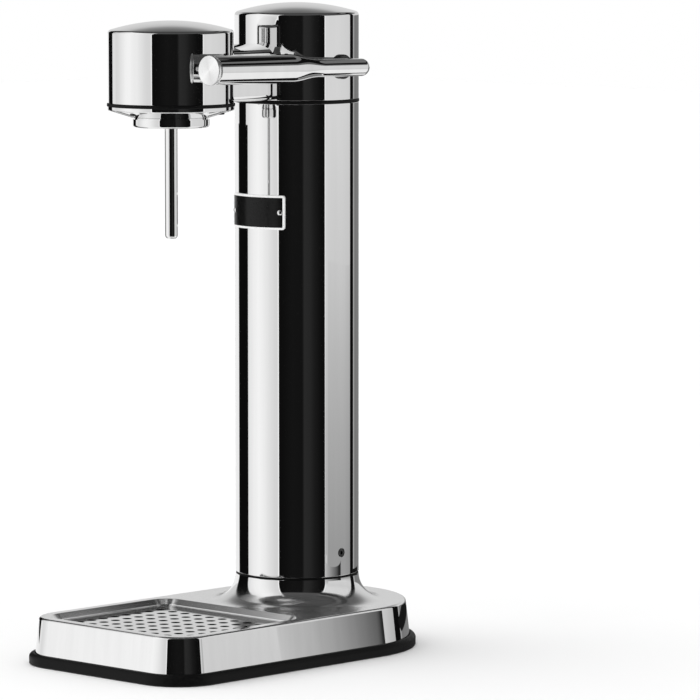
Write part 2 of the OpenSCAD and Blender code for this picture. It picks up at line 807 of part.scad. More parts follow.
module head_dish() {
    boss_z = dish_under(head_post_r) + dish_t / 2;
    color("silver") at_head() difference() {
        union() {
            rotate_extrude() polygon([
                [nozzle_r, socket_top], [socket_r, socket_top], [socket_r, dish_z0], [dish_in, dish_z0],
                [lip_out - lip_edge, lip_z], [lip_out, lip_z + lip_edge], [lip_out, dish_z1],
                [head_r - dish_step, dish_z1],
                [head_r - dish_step, dish_under(head_r - dish_step) + dish_t],
                [dish_in, dish_z0 + dish_t], [socket_r + socket_wall, dish_z0 + dish_t],
                [socket_r + socket_wall, socket_roof], [nozzle_r, socket_roof]]);
            round_about(head_post_r, head_post_angles) rod_z(post_d / 2, boss_z, dish_z1);
        }
        round_about(head_post_r, head_post_angles) {
            rod_z(screw_head_d / 2 + head_room, dish_z0 - past, boss_z);
            rod_z(screw_d / 2, dish_z0, dish_z1 + past);
        }
    }
}

module head_screws() {
    boss_z = dish_under(head_post_r) + dish_t / 2;
    color("dimgray") at_head() round_about(head_post_r, head_post_angles)
        translate([0, 0, boss_z]) screw(dish_z1 + screw_bite - boss_z);
}

module bottle_collar() {
    lug_h = 2.4;
    lug_rise = 0.8;
    lug_a = 40;
    color("silver") at_head() {
        rotate_extrude() polygon(concat([[socket_r, dish_z0], [socket_r, collar_z0]],
            arc([collar_d / 2 - collar_r, collar_z0 + collar_r], collar_r, -90, 0, 5),
            [[collar_d / 2, dish_z0 - collar_groove], [collar_d / 2 - collar_groove, dish_z0 - collar_groove],
                [collar_d / 2 - collar_groove, dish_z0]]));
        for (a = [30:120:270]) rotate([0, 0, a]) translate([0, 0, collar_z0 + lug_rise])
            rotate_extrude(angle = lug_a) translate([socket_r - lug_reach, 0])
            square([lug_reach + (collar_d / 2 - socket_r) / 2, lug_h]);
    }
}

module bottle_seal() {
    color([0.85, 0.85, 0.82]) at_head() tube_z(socket_r, nozzle_shoulder, socket_top - seal_t, socket_top);
}

module nozzle_block() {
    color("whitesmoke") at_head() difference() {
        rod_z(nozzle_block_r, socket_roof, socket_roof + nozzle_block_h);
        rod_z(nozzle_r, socket_roof - past, socket_roof + nozzle_seat);
        rod_z(nozzle_bore, socket_roof, line_z);
        translate([0, 0, line_z]) rotate([-90, 0, 0]) rod_z(line_bore, 0, nozzle_block_r + past);
    }
}

module nozzle_tube() {
    tip_r = 2.4;
    color("silver") at_head() rotate_extrude() polygon(concat(
        [[nozzle_bore, nozzle_tip]],
        arc([nozzle_r - tip_r, nozzle_tip + tip_r], tip_r, -60, 0, 5),
        [[nozzle_r, socket_top - seal_t], [nozzle_shoulder, socket_top - seal_t],
            [nozzle_shoulder, socket_top],
        [nozzle_r, socket_top], [nozzle_r, socket_roof + nozzle_seat],
        [nozzle_bore, socket_roof + nozzle_seat]]));
}

module nozzle_jet() {
    jet_r = 0.5;
    jet_l = 7.5;
    color("whitesmoke") at_head() translate([0, 0, nozzle_tip + jet_r]) tube_z(nozzle_bore, jet_r, 0, jet_l);
}

module relief_valve() {
    hex_r = 7;
    hex_h = 5;
    knob_r = 4.5;
    knob_h = 8;
    color("goldenrod") at_head() translate([0, 0, socket_roof + nozzle_block_h]) {
        cylinder(r = hex_r, h = hex_h, $fn = 6);
        rod_z(knob_r, hex_h / 2, hex_h + knob_h);
    }
}

// Frame of the lever: z runs from the pivot towards the handle's end
module along_lever() {
    translate([lever_x, column_y, pivot_z]) rotate([90 - lever_tilt, 0, 0]) children();
}

function taper(n = 14) = [for (i = [0:n])
    [rod_r + (handle_r - rod_r) * (1 - cos(180 * i / n)) / 2, taper_at + taper_l * i / n]];

module lever_rod() {
    edge = 0.4;
    color("silver") difference() {
        along_lever() rotate_extrude() polygon(concat(
            arc([0, rod_r - lever_back], rod_r, -90, 0, 10), taper(),
            [[handle_r, disc_at - edge], [handle_r - edge, disc_at], [0, disc_at]]));
        translate([0, column_y, pivot_z]) rotate([0, 90, 0]) rod_z(shaft_r, 0, lever_x + shaft_end);
    }
}

module lever_disc() {
    groove_d = 0.9;
    groove_w = 0.5;
    bevel = 0.6;
    edge = 0.5;
    disc_r = handle_r + 0.15;
    color("gainsboro") along_lever() rotate_extrude() polygon([
        [0, disc_at], [handle_r - groove_d, disc_at], [handle_r - groove_d, disc_at + groove_w],
        [disc_r, disc_at + groove_w + bevel], [disc_r, lever_front - edge],
        [disc_r - edge, lever_front], [0, lever_front]]);
}

module pivot_shaft() {
    color("darkgray") translate([0, column_y, pivot_z]) rotate([0, 90, 0])
        rod_z(shaft_r, -shaft_far, lever_x + shaft_end);
}

module shaft_clip() {
    color("dimgray") translate([0, column_y, pivot_z]) rotate([0, -90, 0])
        tube_z(shaft_r + clip_w, shaft_r, bracket_out + clip_gap, bracket_out + clip_gap + clip_t);
}

module cam() {
    color("goldenrod") translate([0, column_y, pivot_z]) difference() {
        translate([-cam_w / 2, -cam_offset * cos(cam_rest_a), cam_offset * sin(cam_rest_a)])
            rotate([0, 90, 0]) cylinder(d = cam_d, h = cam_w);
        rotate([0, 90, 0]) rod_z(shaft_r, -cam_w, cam_w);
    }
}

module plunger() {
    color("gainsboro") at_column() {
        rod_z(plunger_head_r, plunger_under, head_face);
        rod_z(plunger_d / 2, plunger_tip, head_face - plunger_head_t / 2);
    }
}

// Middle line of the spring's wire
spring_steps = spring_turns * curl_rings;
function spring_at(i) = [spring_d / 2 * cos(360 * i / curl_rings), spring_d / 2 * sin(360 * i / curl_rings),
    spring_z0 + (spring_z1 - spring_z0) * i / spring_steps];
spring_gap = min([for (i = [0:spring_steps]) for (j = [i + curl_rings - 2:1:spring_steps])
    norm(spring_at(i) - spring_at(j))]) - wire_d;

module return_spring() {
    n = wire_sides;
    rings = [for (i = [0:spring_steps]) for (k = [0:n - 1])
        let (a = 360 * i / curl_rings, b = 360 * k / n)
        spring_at(i) + wire_d / 2 * [cos(a) * cos(b), sin(a) * cos(b), sin(b)]];
    walls = [for (i = [0:spring_steps - 1]) for (k = [0:n - 1])
        let (p = i * n + k, q = i * n + (k + 1) % n)
        for (face = [[p, p + n, q], [q, p + n, q + n]]) face];
    ends = [for (k = [1:n - 2]) for (face = [[0, k, k + 1],
        [spring_steps * n, spring_steps * n + k + 1, spring_steps * n + k]]) face];
    echo(least_gap_of_spring = spring_gap);
    color("darkgray") at_column() polyhedron(rings, concat(walls, ends));
}

module gas_cylinder() {
    t = cylinder_t;
    color("steelblue") at_column() difference() {
        rotate_extrude() polygon(concat(
            [[0, cylinder_z0 + foot_dish], [cylinder_r - 2 * foot_round, cylinder_z0]],
            arc([cylinder_r - foot_round, cylinder_z0 + foot_round], foot_round, -90, 0, 5),
            [[cylinder_r, shoulder_z], [neck_r + neck_edge / 2, neck_top - neck_l],
            [neck_r, neck_top - neck_l + neck_edge],
            [neck_r, neck_top], [0, neck_top]]));
        rotate_extrude() polygon([[0, cylinder_z0 + 3 * t], [cylinder_r - t, cylinder_z0 + 3 * t],
            [cylinder_r - t, shoulder_z - t / 2], [neck_bore, neck_top - neck_l - t],
            [neck_bore, neck_top + past], [0, neck_top + past]]);
    }
}

module cylinder_valve() {
    color("goldenrod") at_column() difference() {
        union() {
            rod_z(valve_r, neck_top, valve_top);
            rod_z(neck_bore, neck_top - neck_l, neck_top);
        }
        rod_z(pin_r + running_gap, pin_top - pin_l - valve_travel - pin_room, valve_top + past);
    }
}

module valve_pin() {
    color("gainsboro") at_column() rod_z(pin_r, pin_top - pin_l, pin_top);
}

module drip_tray() {
    wide = -lift_gap;
    slim = wide - tray_ledge;
    round_off = 2;
    color("silver") difference() {
        tray_form([[slim - round_off, plate_top], [slim, plate_top + round_off], [slim, grille_z0 - tray_t],
            [wide, grille_z0 - tray_t], [wide, tray_rim_z]]);
        tray_form([[slim - tray_t - round_off, plate_top + tray_t],
            [slim - tray_t, plate_top + tray_t + round_off], [slim - tray_t, grille_z0],
            [wide - tray_t, grille_z0], [wide - tray_t, tray_rim_z + past]]);
    }
}

module drip_grille() {
    color("silver") difference() {
        tray_form(straight(-grille_inset, grille_z0, grille_z1));
        for (i = [0:drain_nx]) for (j = [0:drain_ny])
            translate([(i - drain_nx / 2) * drain_dx, drain_y + (j - drain_ny / 2) * drain_dy, 0])
            rod_z(drain_d / 2, grille_z0 - past, grille_z1 + past);
    }
}

rubber_foot();
base_plate();
base_shell();
base_screws();
column_spigot();
spigot_screws();
lower_gasket();
column_tube();
column_screws();
badge_plate();
badge_frame();
badge_rivets();
cylinder_guides();
upper_gasket();
bulkhead();
valve_block();
valve_screws();
shaft_bracket();
rear_cap();
cap_screws();
lever_bush();
bridge();
gas_line();
gas_unions();
head_shell();
head_gasket();
head_dish();
head_screws();
bottle_collar();
bottle_seal();
nozzle_block();
nozzle_tube();
nozzle_jet();
relief_valve();
lever_rod();
lever_disc();
pivot_shaft();
shaft_clip();
cam();
plunger();
return_spring();
gas_cylinder();
cylinder_valve();
valve_pin();
drip_tray();
drip_grille();
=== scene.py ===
import json
import bpy
import numpy as np
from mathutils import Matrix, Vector
from mathutils.geometry import tessellate_polygon


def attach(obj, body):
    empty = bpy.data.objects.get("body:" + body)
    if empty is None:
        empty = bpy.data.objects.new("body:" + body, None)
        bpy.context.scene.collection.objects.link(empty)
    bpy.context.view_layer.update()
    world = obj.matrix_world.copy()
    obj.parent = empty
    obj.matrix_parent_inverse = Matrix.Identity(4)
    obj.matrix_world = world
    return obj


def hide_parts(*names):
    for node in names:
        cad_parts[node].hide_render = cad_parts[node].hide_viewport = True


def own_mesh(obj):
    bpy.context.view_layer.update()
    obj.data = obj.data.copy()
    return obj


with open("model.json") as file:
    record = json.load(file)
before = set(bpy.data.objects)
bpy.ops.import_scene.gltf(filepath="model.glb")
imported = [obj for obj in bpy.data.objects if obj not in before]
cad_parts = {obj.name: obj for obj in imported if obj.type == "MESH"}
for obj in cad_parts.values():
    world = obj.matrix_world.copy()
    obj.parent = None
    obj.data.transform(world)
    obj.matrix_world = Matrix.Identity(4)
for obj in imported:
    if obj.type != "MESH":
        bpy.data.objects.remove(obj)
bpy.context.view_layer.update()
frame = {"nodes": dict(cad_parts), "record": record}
print("frame loaded:", len(frame["nodes"]), "nodes")

mm = 0.001
weldGap = 2e-7  # places nearer than this, in metres, are one
xWay, yWay, up = np.eye(3)  # towards the lever's side, the rear and the top

# main sizes of the machine in millimetres, as in the solids
machine = {
    "columnY": 52.5, "columnR": 39.6, "columnZ0": 48.3, "columnZ1": 350.8,
    "headY": -59.5, "headR": 39.3, "headZ": 353.7, "headTop": 405.0,
    "capZ": 352.8, "capTop": 414.0, "crownR": 130.0, "shoulderR": 2.4, "capWall": 1.5, "capEdge": 0.35,
    "pivotZ": 374.0, "baseTop": 30.0, "plateTop": 4.0,
}
columnAxis = (0, machine["columnY"], 0)
headAxis = (0, machine["headY"], 0)

# camera, fitted to the photograph
view = {"place": (2.2602, -2.2519, 0.5105), "ahead": (-0.68929, 0.71775, -0.09855),
        "lens": 259.54, "sensor": 36.0, "farthest": 50}
lens = bpy.data.cameras.new("camera")
lens.lens = view["lens"]
lens.sensor_width = view["sensor"]
lens.clip_end = view["farthest"]
camera = bpy.data.objects.new("camera", lens)
camera.location = view["place"]
camera.rotation_euler = Vector(view["ahead"]).to_track_quat("-Z", "Y").to_euler()
bpy.context.scene.collection.objects.link(camera)
bpy.context.scene.camera = camera
bpy.context.scene.view_settings.view_transform = "Standard"
print("camera set")


# profiles: a run is (points, normals) in a plane, with the normal on the right of the direction of travel
# straight run from p to q
def straight(p, q):
    ends = np.array([p, q], float)
    d = (ends[1] - ends[0]) / np.linalg.norm(ends[1] - ends[0])
    return ends, np.tile([d[1], -d[0]], (2, 1))


# arc: c + r (cos a, sin a); its normal points away from c when a grows, and towards c when it falls
def bend(c, r, a0, a1, n):
    a = np.radians(np.linspace(a0, a1, n))
    ray = np.stack([np.cos(a), np.sin(a)], 1)
    return np.array(c, float) + r * ray, ray * np.sign(a1 - a0)


# free curve through points, normals from its slopes
def flow(points):
    p = np.array(points, float)
    d = np.gradient(p, axis=0)
    d /= np.linalg.norm(d, axis=1)[:, None]
    return p, np.stack([d[:, 1], -d[:, 0]], 1)


# straight runs through a list of corners
def corners(*points):
    return [straight(p, q) for p, q in zip(points[:-1], points[1:])]


# part of a mesh, as (points, normals, quads), from a grid of places
def gridPart(points, normals):
    m, n = points.shape[:2]
    i = np.arange(m * n).reshape(m, n)
    quads = np.stack([i[:-1, :-1], i[1:, :-1], i[1:, 1:], i[:-1, 1:]], -1).reshape(-1, 4)
    return points.reshape(-1, 3), normals.reshape(-1, 3), quads


upright = (-yWay, xWay, up)


# run (r, z) turned about an axis: origin + r (cos t e0 + sin t e1) + z e2
def turned(run, origin, axes=upright, n=160, t0=0.0, t1=360.0):
    p, m = run
    t = np.radians(np.linspace(t0, t1, n + 1))
    ring = np.outer(np.cos(t), axes[0]) + np.outer(np.sin(t), axes[1])
    points = np.array(origin) + p[:, 0, None, None] * ring + p[:, 1, None, None] * axes[2]
    normals = m[:, 0, None, None] * ring + m[:, 1, None, None] * axes[2]
    return gridPart(points, normals)


# several runs turned about one axis
def turnedAll(runs, origin, axes=upright, n=160):
    return [turned(run, origin, axes, n) for run in runs]


# closed plan of width w between y0 and y1: corner arcs r0 in front and r1 behind, with outward normals
def roundedPlan(w, y0, y1, r0, r1, n):
    half = w / 2
    arcs = [
        bend((half - r0, y0 + r0), r0, -90, 0, n), bend((half - r1, y1 - r1), r1, 0, 90, n),
        bend((r1 - half, y1 - r1), r1, 90, 180, n), bend((r0 - half, y0 + r0), r0, 180, 270, n)]
    points = np.concatenate([a[0] for a in arcs] + [arcs[0][0][:1]])
    normals = np.concatenate([a[1] for a in arcs] + [arcs[0][1][:1]])
    return points, normals


# run (u, z) carried round a plan: plan + u * outward normal, at height z
def carried(run, plan):
    p, m = run
    q, out = plan
    flat = q + p[:, 0, None, None] * out
    height, rise = [np.repeat(a[:, 1, None, None], len(q), 1) for a in (p, m)]
    points = np.concatenate([flat, height], -1)
    normals = np.concatenate([m[:, 0, None, None] * out, rise], -1)
    return gridPart(points, normals)


# outline of a plan moved out by u, without its doubled end
def loopAt(plan, u):
    return (plan[0] + u * plan[1])[:-1]


# circle about the axis at y: r (sin t, -cos t)
def ringLoop(y, r, n=160):
    t = np.radians(np.linspace(0, 360, n + 1))[:-1]
    return np.stack([r * np.sin(t), y - r * np.cos(t)], 1)


# flat face at height z inside the first loop and outside the others
def flatFace(loops, z, side):
    tris = np.array(tessellate_polygon([[Vector((x, y, 0.0)) for x, y in loop] for loop in loops]))
    points = np.concatenate(loops)
    points = np.column_stack([points, np.full(len(points), z)])
    return points, np.tile(side * up, (len(points), 1)), np.column_stack([tris, tris[:, 2]])


# mesh of all parts: places that coincide are welded, and each corner keeps its own normal
def makePiece(name, parts):
    counts = np.cumsum([0] + [len(p) for p, m, q in parts])
    points = np.concatenate([p for p, m, q in parts]) * mm
    normals = np.concatenate([m for p, m, q in parts])
    quads = np.concatenate([q + c for (p, m, q), c in zip(parts, counts)])
    key = np.round(points / weldGap).astype(np.int64)
    first, where = np.unique(key, axis=0, return_index=True, return_inverse=True)[1:]
    corner = where.reshape(-1)[quads]
    cornerNormal = normals[quads]
    # a face that turns away from its normals is turned round
    spot = points[first][corner]
    facing = np.cross(spot[:, 2] - spot[:, 0], spot[:, 3] - spot[:, 1])
    flip = np.einsum("ij,ij->i", facing, cornerNormal.sum(1)) < 0
    corner[flip] = corner[flip][:, ::-1]
    cornerNormal[flip] = cornerNormal[flip][:, ::-1]
    # a corner that falls on the next one is dropped, and so is a face with fewer than three left
    keep = corner != np.roll(corner, -1, axis=1)
    good = keep.sum(1) > 2
    keep &= good[:, None]
    count = keep.sum(1)[good]
    mesh = bpy.data.meshes.new(name)
    mesh.vertices.add(len(first))
    mesh.vertices.foreach_set("co", points[first].astype(np.float32).ravel())
    mesh.loops.add(int(count.sum()))
    mesh.loops.foreach_set("vertex_index", corner[keep].astype(np.int32))
    mesh.polygons.add(len(count))
    mesh.polygons.foreach_set("loop_start", (np.cumsum(count) - count).astype(np.int32))
    mesh.polygons.foreach_set("use_smooth", np.ones(len(count), bool))
    mesh.update(calc_edges=True)
    mesh.normals_split_custom_set(cornerNormal[keep].tolist())
    piece = bpy.data.objects.new(name, mesh)
    bpy.context.scene.collection.objects.link(piece)
    return piece


# a new node of a material or of the world
def addNode(owner, kind, **settings):
    node = owner.node_tree.nodes.new(kind)
    for key, value in settings.items():
        setattr(node, key, value)
    return node


def setInputs(node, values):
    for socket, value in values.items():
        node.inputs[socket].default_value = value


def link(owner, source, target):
    owner.node_tree.links.new(source, target)


def shaderOf(material):
    return material.node_tree.nodes["Principled BSDF"]


# plain finish, before it has any grain
def newFinish(name, colour, metallic, roughness):
    material = bpy.data.materials.new(name)
    material.use_nodes = True
    setInputs(shaderOf(material), {"Base Color": (*colour, 1), "Metallic": metallic, "Roughness": roughness})
    return material


# noise on object coordinates, stretched by scale along each axis
def grainOf(material, scale):
    where = addNode(material, "ShaderNodeTexCoord")
    mapping = addNode(material, "ShaderNodeMapping")
    noise = addNode(material, "ShaderNodeTexNoise")
    setInputs(mapping, {"Scale": scale})
    setInputs(noise, {"Scale": 1.0, "Detail": 4.0})
    link(material, where.outputs["Object"], mapping.inputs["Vector"])
    link(material, mapping.outputs["Vector"], noise.inputs["Vector"])
    return noise.outputs["Fac"]


# how level a surface lies: 0 on an upright wall, 1 on a flat top
def levelOf(material):
    where = addNode(material, "ShaderNodeTexCoord")
    split = addNode(material, "ShaderNodeSeparateXYZ")
    level = addNode(material, "ShaderNodeMath", operation="ABSOLUTE")
    link(material, where.outputs["Normal"], split.inputs["Vector"])
    link(material, split.outputs["Z"], level.inputs[0])
    return level.outputs["Value"]


# colours through stops of (place, colour)
def rampOf(owner, fac, stops):
    ramp = addNode(owner, "ShaderNodeValToRGB")
    points = ramp.color_ramp.elements
    while len(points) < len(stops):
        points.new(0.5)
    for point, (at, colour) in zip(points, stops):
        point.position = at
        point.color = (*colour, 1)
    link(owner, fac, ramp.inputs["Fac"])
    return ramp.outputs["Color"]


# roughness from low to high as fac goes from a to b
def roughenBy(material, fac, low, high, a=0.3, b=0.7):
    spread = addNode(material, "ShaderNodeMapRange")
    setInputs(spread, {"From Min": a, "From Max": b, "To Min": low, "To Max": high})
    link(material, fac, spread.inputs["Value"])
    link(material, spread.outputs["Result"], shaderOf(material).inputs["Roughness"])


# fine relief that follows fac, distance metres deep
def bumpFrom(material, fac, strength, distance):
    bump = addNode(material, "ShaderNodeBump")
    setInputs(bump, {"Strength": strength, "Distance": distance})
    link(material, fac, bump.inputs["Height"])
    link(material, bump.outputs["Normal"], shaderOf(material).inputs["Normal"])


def grey(v):
    return (v, v, v)


# colour low and high, metallic, roughness low and high, grain per metre, bump strength and depth in metres
finishes = {
    "polished_steel": {"low": grey(0.83), "high": grey(0.87), "metallic": 1.0, "rough": (0.018, 0.032),
                       "grain": (150, 150, 5)},
    "spun_steel": {"low": grey(0.80), "high": grey(0.93), "metallic": 1.0, "rough": (0.22, 0.34),
                   "grain": (60, 60, 60)},
    "satin_steel": {"low": grey(0.74), "high": grey(0.82), "metallic": 1.0, "rough": (0.13, 0.22),
                    "grain": (900, 30, 900), "bump": (0.05, 0.00004)},
    "plain_steel": {"low": grey(0.52), "high": grey(0.66), "metallic": 1.0, "rough": (0.28, 0.45),
                    "grain": (300, 300, 40), "bump": (0.1, 0.00005)},
    "screw_steel": {"low": grey(0.05), "high": grey(0.11), "metallic": 1.0, "rough": (0.14, 0.24),
                    "grain": (500, 500, 500), "bump": (0.1, 0.00004)},
    "brass": {"low": (0.62, 0.44, 0.18), "high": (0.78, 0.60, 0.29), "metallic": 1.0, "rough": (0.2, 0.36),
              "grain": (260, 260, 60), "bump": (0.1, 0.00004)},
    "black_rubber": {"low": grey(0.003), "high": grey(0.006), "metallic": 0.0, "rough": (0.42, 0.6),
                     "gloss": 0.12, "grain": (700, 700, 700), "bump": (0.25, 0.00008)},
    "pale_rubber": {"low": (0.70, 0.69, 0.65), "high": (0.80, 0.79, 0.76), "metallic": 0.0,
                    "rough": (0.5, 0.65), "grain": (500, 500, 500), "bump": (0.2, 0.00006)},
    "black_plastic": {"low": grey(0.006), "high": grey(0.012), "metallic": 0.0, "rough": (0.3, 0.42),
                      "grain": (900, 900, 900), "bump": (0.15, 0.00004)},
    "white_plastic": {"low": (0.82, 0.82, 0.80), "high": (0.89, 0.89, 0.87), "metallic": 0.0,
                      "rough": (0.35, 0.45), "grain": (600, 600, 600), "bump": (0.1, 0.00004)},
    "badge_enamel": {"low": grey(0.004), "high": grey(0.008), "metallic": 0.0, "rough": (0.16, 0.26),
                     "gloss": 0.16, "grain": (500, 500, 500), "bump": (0.06, 0.00003)},
    "white_enamel": {"low": grey(0.94), "high": grey(0.98), "metallic": 0.0, "rough": (0.25, 0.35),
                     "grain": (500, 500, 500), "bump": (0.06, 0.00003)},
    "cylinder_paint": {"low": (0.13, 0.27, 0.44), "high": (0.17, 0.33, 0.52), "metallic": 0.0,
                       "rough": (0.3, 0.42), "grain": (350, 350, 350), "bump": (0.2, 0.00005)},
}


# finish from its settings: one grain drives its colour, roughness and bump
def makeFinish(name):
    s = finishes[name]
    material = newFinish(name, s["high"], s["metallic"], s["rough"][0])
    shader = shaderOf(material)
    setInputs(shader, {"Specular IOR Level": s.get("gloss", 0.5)})
    grain = grainOf(material, s["grain"])
    link(material, rampOf(material, grain, [(0.3, s["low"]), (0.7, s["high"])]), shader.inputs["Base Color"])
    roughenBy(material, grain, *s["rough"])
    if "bump" in s:
        bumpFrom(material, grain, *s["bump"])
    return material


finish = {name: makeFinish(name) for name in finishes}
print("finishes made:", len(finish))


# finished piece: it rides on a body, takes a slot's finish and stands for nodes of the solids
def place(name, parts, slotName, body, *nodes, special=None):
    piece = makePiece(name, parts)
    piece.data.materials.append(special or finish[slotName])
    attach(piece, body)
    if nodes:
        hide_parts(*nodes)
    return piece


base = {"width": 153.0, "front": -129.0, "rear": 129.0, "cornerR": 30.0, "footProud": 4.0, "footH": 7.4,
        "lean": 2.6, "edgeR": 2.0, "wall": 1.6, "flareR": 17.0, "flareEnd": 268.5, "rim": 7.4, "slope": 3.4,
        "slopeR": 0.8, "collarGap": 0.4, "trayRearR": 9.0, "lipZ": 25.6,
        "rough": (0.025, 0.18), "level": (0.3, 0.72)}
leanSlope = base["lean"] / (machine["baseTop"] - base["footH"])
leanAngle = np.degrees(np.arctan(leanSlope))
basePlan = roundedPlan(base["width"], base["front"], base["rear"], base["cornerR"], base["width"] / 2, 48)


# how far the leaning wall stands inside the plan at height z
def wallInset(z):
    return base["footProud"] + leanSlope * (z - base["footH"])


topInset = wallInset(machine["baseTop"])
flareOut = machine["columnR"] + base["flareR"]
openInset = topInset + base["rim"] + base["slope"]
openRear = machine["columnY"] - flareOut - base["collarGap"] - base["slope"]
trayPlan = roundedPlan(base["width"] - 2 * openInset, base["front"] + openInset, openRear,
                       base["cornerR"] - openInset, base["trayRearR"], 24)


# base: its walls are mirror bright, and its top is softer where it has been wiped
def baseFinish():
    material = makeFinish("polished_steel")
    material.name = "base_steel"
    roughenBy(material, levelOf(material), *base["rough"], *base["level"])
    return material


# base shell: a leaning wall carried round the D-shaped plan, a flat top, the tray's lip and a concave collar
def makeBase():
    top, foot, wall = machine["baseTop"], machine["plateTop"], base["wall"]
    edgeZ = top - base["edgeR"]
    tilt = np.radians(leanAngle)
    edgeU = -wallInset(edgeZ + base["edgeR"] * np.sin(tilt)) - base["edgeR"] * np.cos(tilt)
    edge = bend((edgeU, edgeZ), base["edgeR"], leanAngle, 90, 10)
    outside = straight((-wallInset(foot), foot), edge[0][0])
    under = top - wall
    innerTop, innerFoot = -wallInset(under) - wall, -wallInset(foot) - wall
    # lip: a 45 degree slope between two small roundings, then a short upright, then back under the sheet
    fall, r = base["slope"], base["slopeR"]
    mitre = np.tan(np.radians(45 / 2))
    crest = bend((fall + r * mitre, top - r), r, 90, 135, 7)
    brow = bend((r, top - fall - r * mitre), r, 135, 180, 7)
    lip = [crest, straight(crest[0][-1], brow[0][0]), brow]
    lip += corners((0, brow[0][-1, 1]), (0, base["lipZ"]), (wall, base["lipZ"]),
                   (wall, top - fall - wall * mitre), (fall + wall * mitre, under))
    # collar: a concave arc up to the column, and its inner arc, which ends on the sheet's underside
    neckR, flareC = flareOut - base["flareR"], (flareOut, top + base["flareR"])
    flare = [bend(flareC, base["flareR"], 270, 180, 40),
             straight((neckR, flareC[1]), (neckR - wall, flareC[1])),
             bend(flareC, base["flareR"] + wall, 180, base["flareEnd"], 24)]
    flare[2][0][-1, 1] = under
    parts = [carried(run, basePlan) for run in [
        straight((innerFoot, foot), (-wallInset(foot), foot)), outside, edge,
        straight((innerTop, under), (innerFoot, foot))]]
    parts += [carried(run, trayPlan) for run in lip]
    parts += turnedAll(flare, columnAxis)
    above, below = [ringLoop(machine["columnY"], r) for r in (flareOut, flare[2][0][-1, 0])]
    parts += [flatFace([loopAt(basePlan, edgeU), loopAt(trayPlan, crest[0][0, 0]), above], top, 1),
              flatFace([loopAt(basePlan, innerTop), loopAt(trayPlan, fall + wall * mitre), below], under, -1)]
    place("baseShell", parts, "polished_steel", "frame", "base_shell", special=baseFinish())


foot = {"toe": 1.2, "bead": 2.8, "ledge": 6.0, "ledgeZ": 2.0}


# foot: a beaded section with a ledge for the base plate, carried round the base's plan
def makeFoot():
    pocket, high = wallInset(machine["plateTop"]), base["footH"]
    low = pocket + foot["ledge"]
    runs = [bend((-foot["toe"], foot["toe"]), foot["toe"], -90, 0, 7),
            straight((0, foot["toe"]), (0, high - foot["bead"])),
            bend((-foot["bead"], high - foot["bead"]), foot["bead"], 0, 90, 12)]
    runs += corners((-foot["bead"], high), (-pocket, high), (-pocket, foot["ledgeZ"]), (-low, foot["ledgeZ"]),
                    (-low, 0), (-foot["toe"], 0))
    place("rubberFoot", [carried(run, basePlan) for run in runs], "black_rubber", "frame", "rubber_foot")


tray = {"gap": 0.3, "wall": 0.8, "ledge": 2.0, "rimZ": 26.4, "grilleZ": 24.9, "chamfer": 2.0, "rimR": 0.35}


# tray: a chamfered pan with a ledge for the grille and a rounded rim, its wall carried round the tray's plan
def makeTray():
    wide, slim, wall, c = -tray["gap"], -tray["gap"] - tray["ledge"], tray["wall"], tray["chamfer"]
    rim, r, low = tray["rimZ"], tray["rimR"], machine["plateTop"]
    ledge = tray["grilleZ"]
    runs = corners((slim - c, low), (slim, low + c), (slim, ledge - wall), (wide, ledge - wall),
                   (wide, rim - r))
    runs += [bend((wide - r, rim - r), r, 0, 90, 5), straight((wide - r, rim), (wide - wall + r, rim)),
             bend((wide - wall + r, rim - r), r, 90, 180, 5)]
    runs += corners((wide - wall, rim - r), (wide - wall, ledge), (slim - wall, ledge),
                    (slim - wall, low + wall + c), (slim - wall - c, low + wall))
    parts = [carried(run, trayPlan) for run in runs]
    parts += [flatFace([loopAt(trayPlan, slim - c)], low, -1),
              flatFace([loopAt(trayPlan, slim - wall - c)], low + wall, 1)]
    place("dripTray", parts, "satin_steel", "drip_tray", "drip_tray")


makeBase()
makeFoot()
makeTray()
print("base made")


# wall of a turned piece with a row of round holes at height z: round each hole a window of the wall, in
# degrees and millimetres, is a grid between the hole's edge and the window's, and the rest is turned
def piercedWall(r, z0, z1, y, angles, z, holeR, side=1, n=160):  # side is 1 outside, -1 inside
    step, reach = 360.0 / n, 1.6 * holeR  # reach is half the window's height
    cells = int(np.ceil(np.degrees(reach / r) / step))
    half = np.array([cells * step, reach])
    perUnit = np.array([np.radians(r), 1.0])
    across = np.linspace(-1, 1, 2 * cells + 1)
    u, one = across[:-1], np.ones(2 * cells)
    square = np.concatenate([np.column_stack(c) for c in [(u, -one), (one, u), (-u, one), (-one, -u)]])
    square = np.concatenate([square, square[:1]])
    share = np.linspace(0, 1, 6)[:, None, None]

    def strip(heights, count, start, end):
        run = np.column_stack([0 * heights + r, heights]), np.tile([float(side), 0.0], (len(heights), 1))
        return turned(run, (0, y, 0), upright, count, start, end)

    rows = np.concatenate([[z0], z + half[1] * across, [z1]])
    parts, edges = [], []
    for angle, after in zip(angles, angles[1:] + [angles[0] + 360.0]):
        border = half * square + (angle, z)
        way = (border - (angle, z)) * perUnit
        edge = holeR * way / np.linalg.norm(way, axis=1)[:, None] / perUnit + (angle, z)
        window = edge + share * (border - edge)
        t = np.radians(window[..., 0])
        out = np.stack([np.sin(t), -np.cos(t), 0 * t], -1)
        points = r * out + np.stack([0 * t, 0 * t + y, window[..., 1]], -1)
        edges.append(points[0])
        start, end = angle - half[0], angle + half[0]
        parts += [gridPart(points, side * out), strip(rows[:2], 2 * cells, start, end),
                  strip(rows[-2:], 2 * cells, start, end),
                  strip(rows, int(round((after - half[0] - end) / step)), end, after - half[0])]
    return parts, edges


seal = {"bead": 0.5, "leastFlat": 0.1, "lowerR": 39.42, "upperR": 39.95, "headProud": 0.7, "inset": 2.0}


